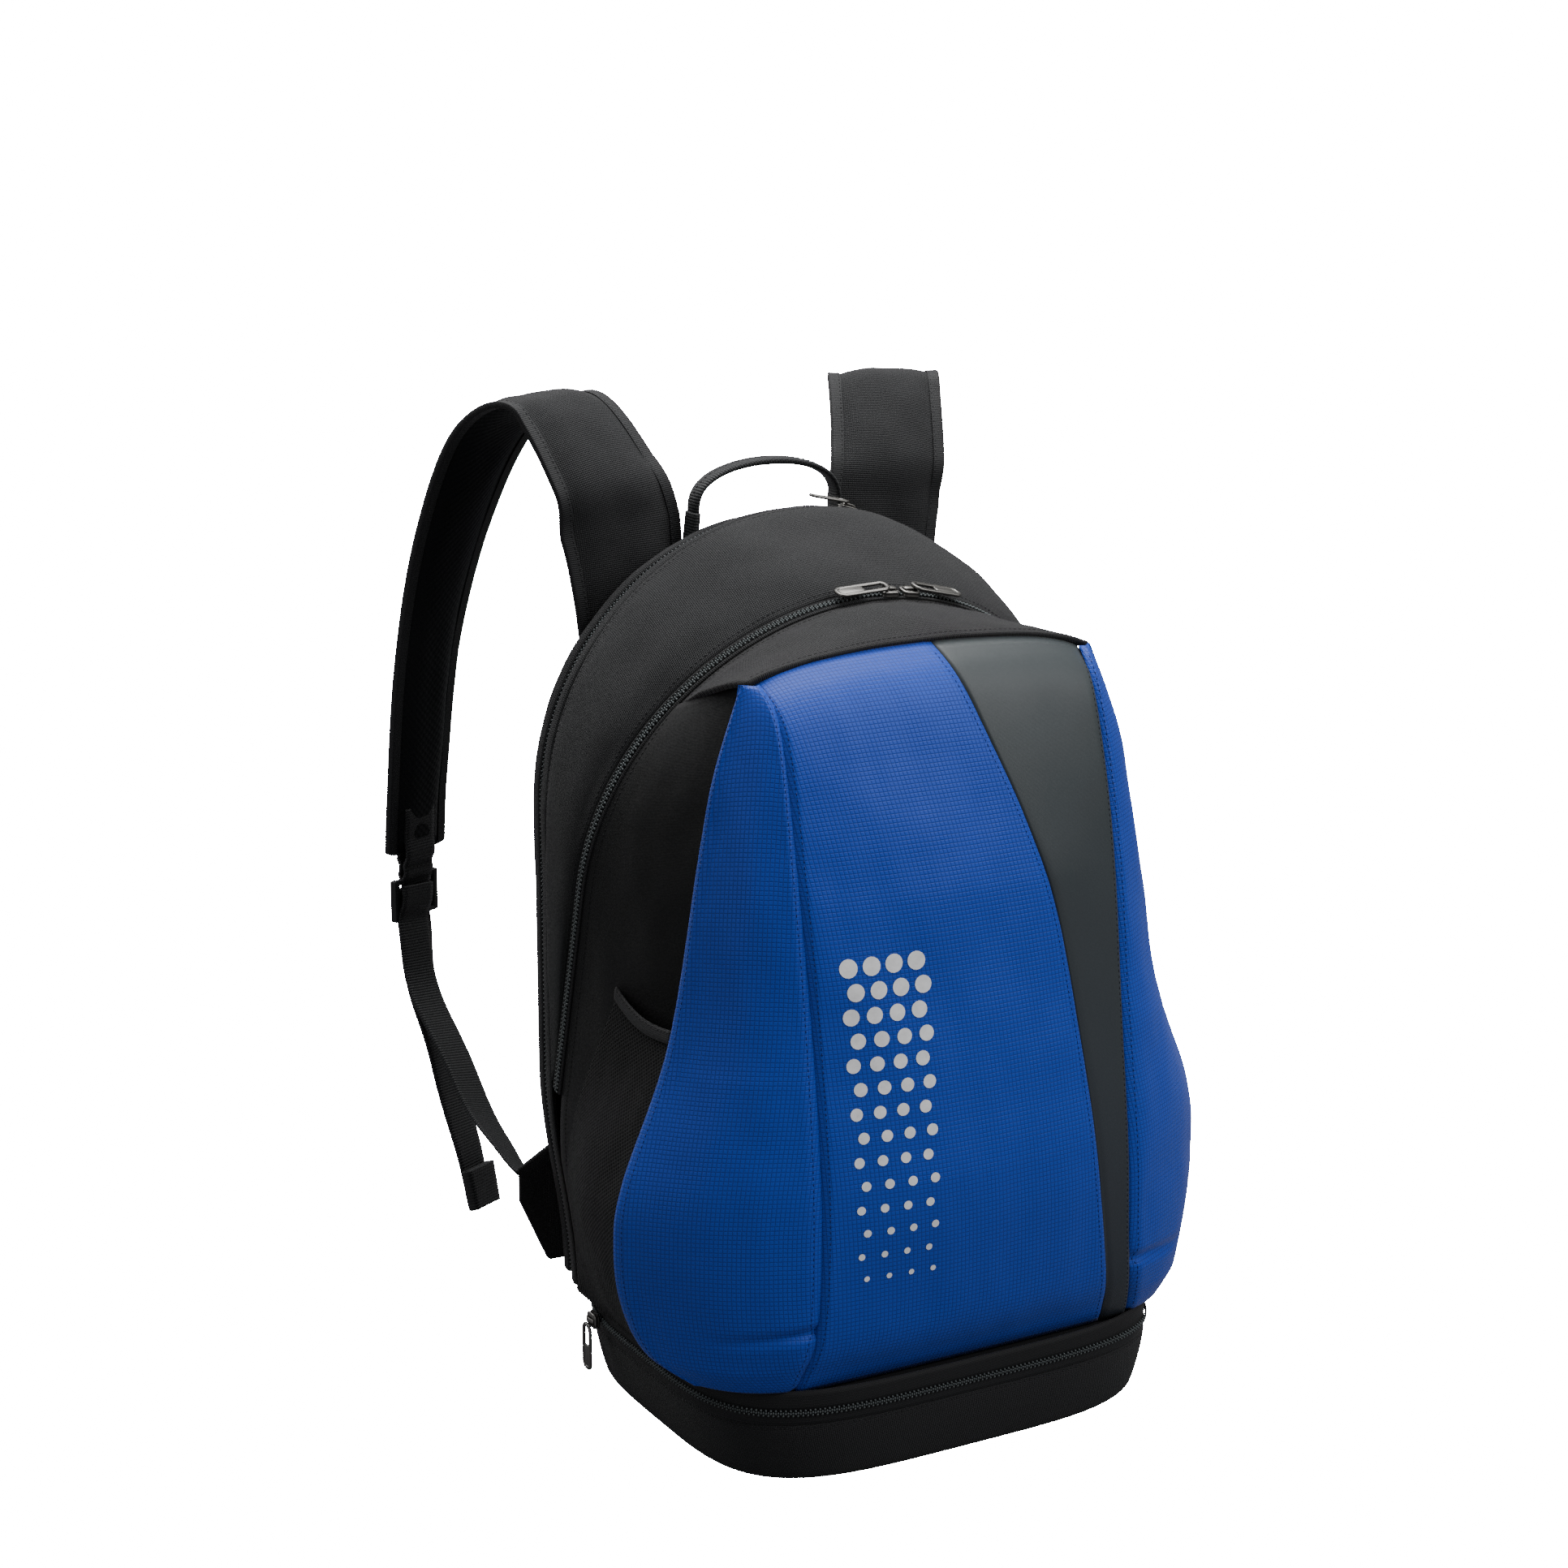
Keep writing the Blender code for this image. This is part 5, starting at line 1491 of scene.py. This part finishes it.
right = Vector((1, 0, 0))
for (side, way), turn in zip(SIDES, (radians(3.5), radians(8.3))):
    up = right * sin(turn) + UP * cos(turn)
    along = (right * cos(turn) - UP * sin(turn)) * way
    place = ZIP_CENTRE + up * (SIDE_X + 0.0004)
    slider_and_pull("main_{}_" + side, place, along, NORMAL, up, radians(6), 0.031)
for side, turn, way in (("left", MOUTH_FROM, -1), ("right", MOUTH_TO, 1)):
    reach = SIDE_X - BACK_TAPER / 2 + BACK_TAPER / (BACK_Y - SEAM_Y) * 0.0045 + 0.0004
    up = Vector((sin(turn), 0, cos(turn)))
    along = Vector((cos(turn), 0, -sin(turn))) * way
    place = Vector((0, RACKET_ZIP_Y, ARCH_Z)) + up * reach + along * 0.005775
    slider_and_pull("racket_{}_" + side, place, along, Vector((0, 1, 0)), up, radians(5), 0.024)
up, along, across = Vector((-1, 0, 0)), Vector((0, 1, 0)), Vector((0, 0, 1))
place = Vector((-BASE_X - 0.0004, 0.040, TAPE_Z + 0.00525))
zip_slider("base_slider", place, along, across, up, "base_slider")
zip_pull("base_pull", place + up * 0.0050, -across, along, up, 0.027, "base_pull")
print("sliders done")

# %% [markdown]
# ## Stitching and print
# Rows of small stitches are laid on the finished cloth beside every seam, a little inside the fold. The
# front panel carries a plain white field of dots that shrink downwards; it has no wording.

# %% Stitch rows on the cover and gussets
pieces = bpy.data.objects
for side, way in SIDES:
    for name, w, gap in (("hem", 0.955, 0.0030), ("seam", 0.040, 0.0032)):
        sew("wing_" + name + "_stitch_" + side, pieces["blue_wing_" + side],
            lambda t, w=w, m=way: flipped(wing_cloth, m)(w, 0.01 + 0.98 * t), THREAD_BLUE, None, "ripstop",
            COVER_BLEND, pitch=gap)
    sew("wall_stitch_" + side, pieces["black_side_wall_" + side],
        lambda t, m=way: flipped(wall, m)(0.035, 0.02 + 0.96 * t), THREAD_BLACK, None, "lining", COVER_BLEND)
    sew("pocket_stitch_0_" + side, pieces["pocket_top_" + side],
        lambda t, m=way: flipped(binding_surface, m)(0.02 + 0.96 * t, 0.30), THREAD_BLACK, None, "zip_tape",
        COVER_BLEND)


def front_row(edge_of, shift):
    """A row on the front beside an edge, given by its x at each height."""
    def run(t):
        z = SHELL_Z + 0.004 + (seam_top - SHELL_Z - 0.008) * t
        return front_surface(edge_of(z) + shift, z, (z - SHELL_Z) / (seam_top - SHELL_Z))
    return run


for name, cloth_piece, edge_of, shift, thread, slot in (
        ("left", front, lambda z: -front_edge(z), 0.004, THREAD_BLUE, "ripstop"),
        ("stripe_left", front, stripe_edge, -0.003, THREAD_BLUE, "ripstop"),
        ("stripe_right", stripe, front_edge, -0.004, THREAD_BLACK, "stripe")):
    sew("front_stitch_" + name, cloth_piece, front_row(edge_of, shift), thread, None, slot, COVER_BLEND)
for name, v in (("front", 0.955), ("rear", 0.045)):
    sew("gusset_stitch_" + name, gusset, lambda t, v=v: gusset_surface(0.01 + 0.98 * t, v), THREAD_BLACK, "pack",
        "canvas")
for name, v in (("zip", 0.06), ("near", 0.93)):
    sew("band_stitch_" + name, band, lambda t, v=v: band_surface(0.02 + 0.96 * t, v), THREAD_BLACK, None, "canvas",
        COVER_BLEND)
sew("base_stitch", tub, lambda t: tub_surface(t, 0.955), THREAD_BLACK, "base", "canvas")
print("stitches done")

# %% Printed dots
bm = bmesh.new()
bm.from_mesh(front.data)
front_tree = BVHTree.FromBMesh(bm)
bm.free()
bm = bmesh.new()
for row in range(14):
    size = 0.0048 * (1 - row / 19)
    for column in range(4):
        x = -0.0735 + column * 0.0122 + (row % 2) * 0.0030
        z = 0.272 - row * 0.0122
        spots = []
        for n in range(17):
            reach = size if n else 0.0
            turn = 2 * pi * n / 16
            ahead = Vector((x + reach * cos(turn), -0.3, z + reach * sin(turn)))
            place, normal, _, _ = front_tree.ray_cast(ahead, Vector((0, 1, 0)))
            spots.append(bm.verts.new(place + normal * 0.0002))
        for n in range(1, 17):
            bm.faces.new((spots[0], spots[n], spots[n % 16 + 1]))
print_mark = to_object("printed_dots", bm, PRINT)
keep(print_mark, None, "ripstop", blend=COVER_BLEND)
print("pieces:", len(made_pieces))

# %% Size and finish
size = {"cad": [list(corner) for corner in cad_box], "visual": [list(corner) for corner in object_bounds()]}
print(size)
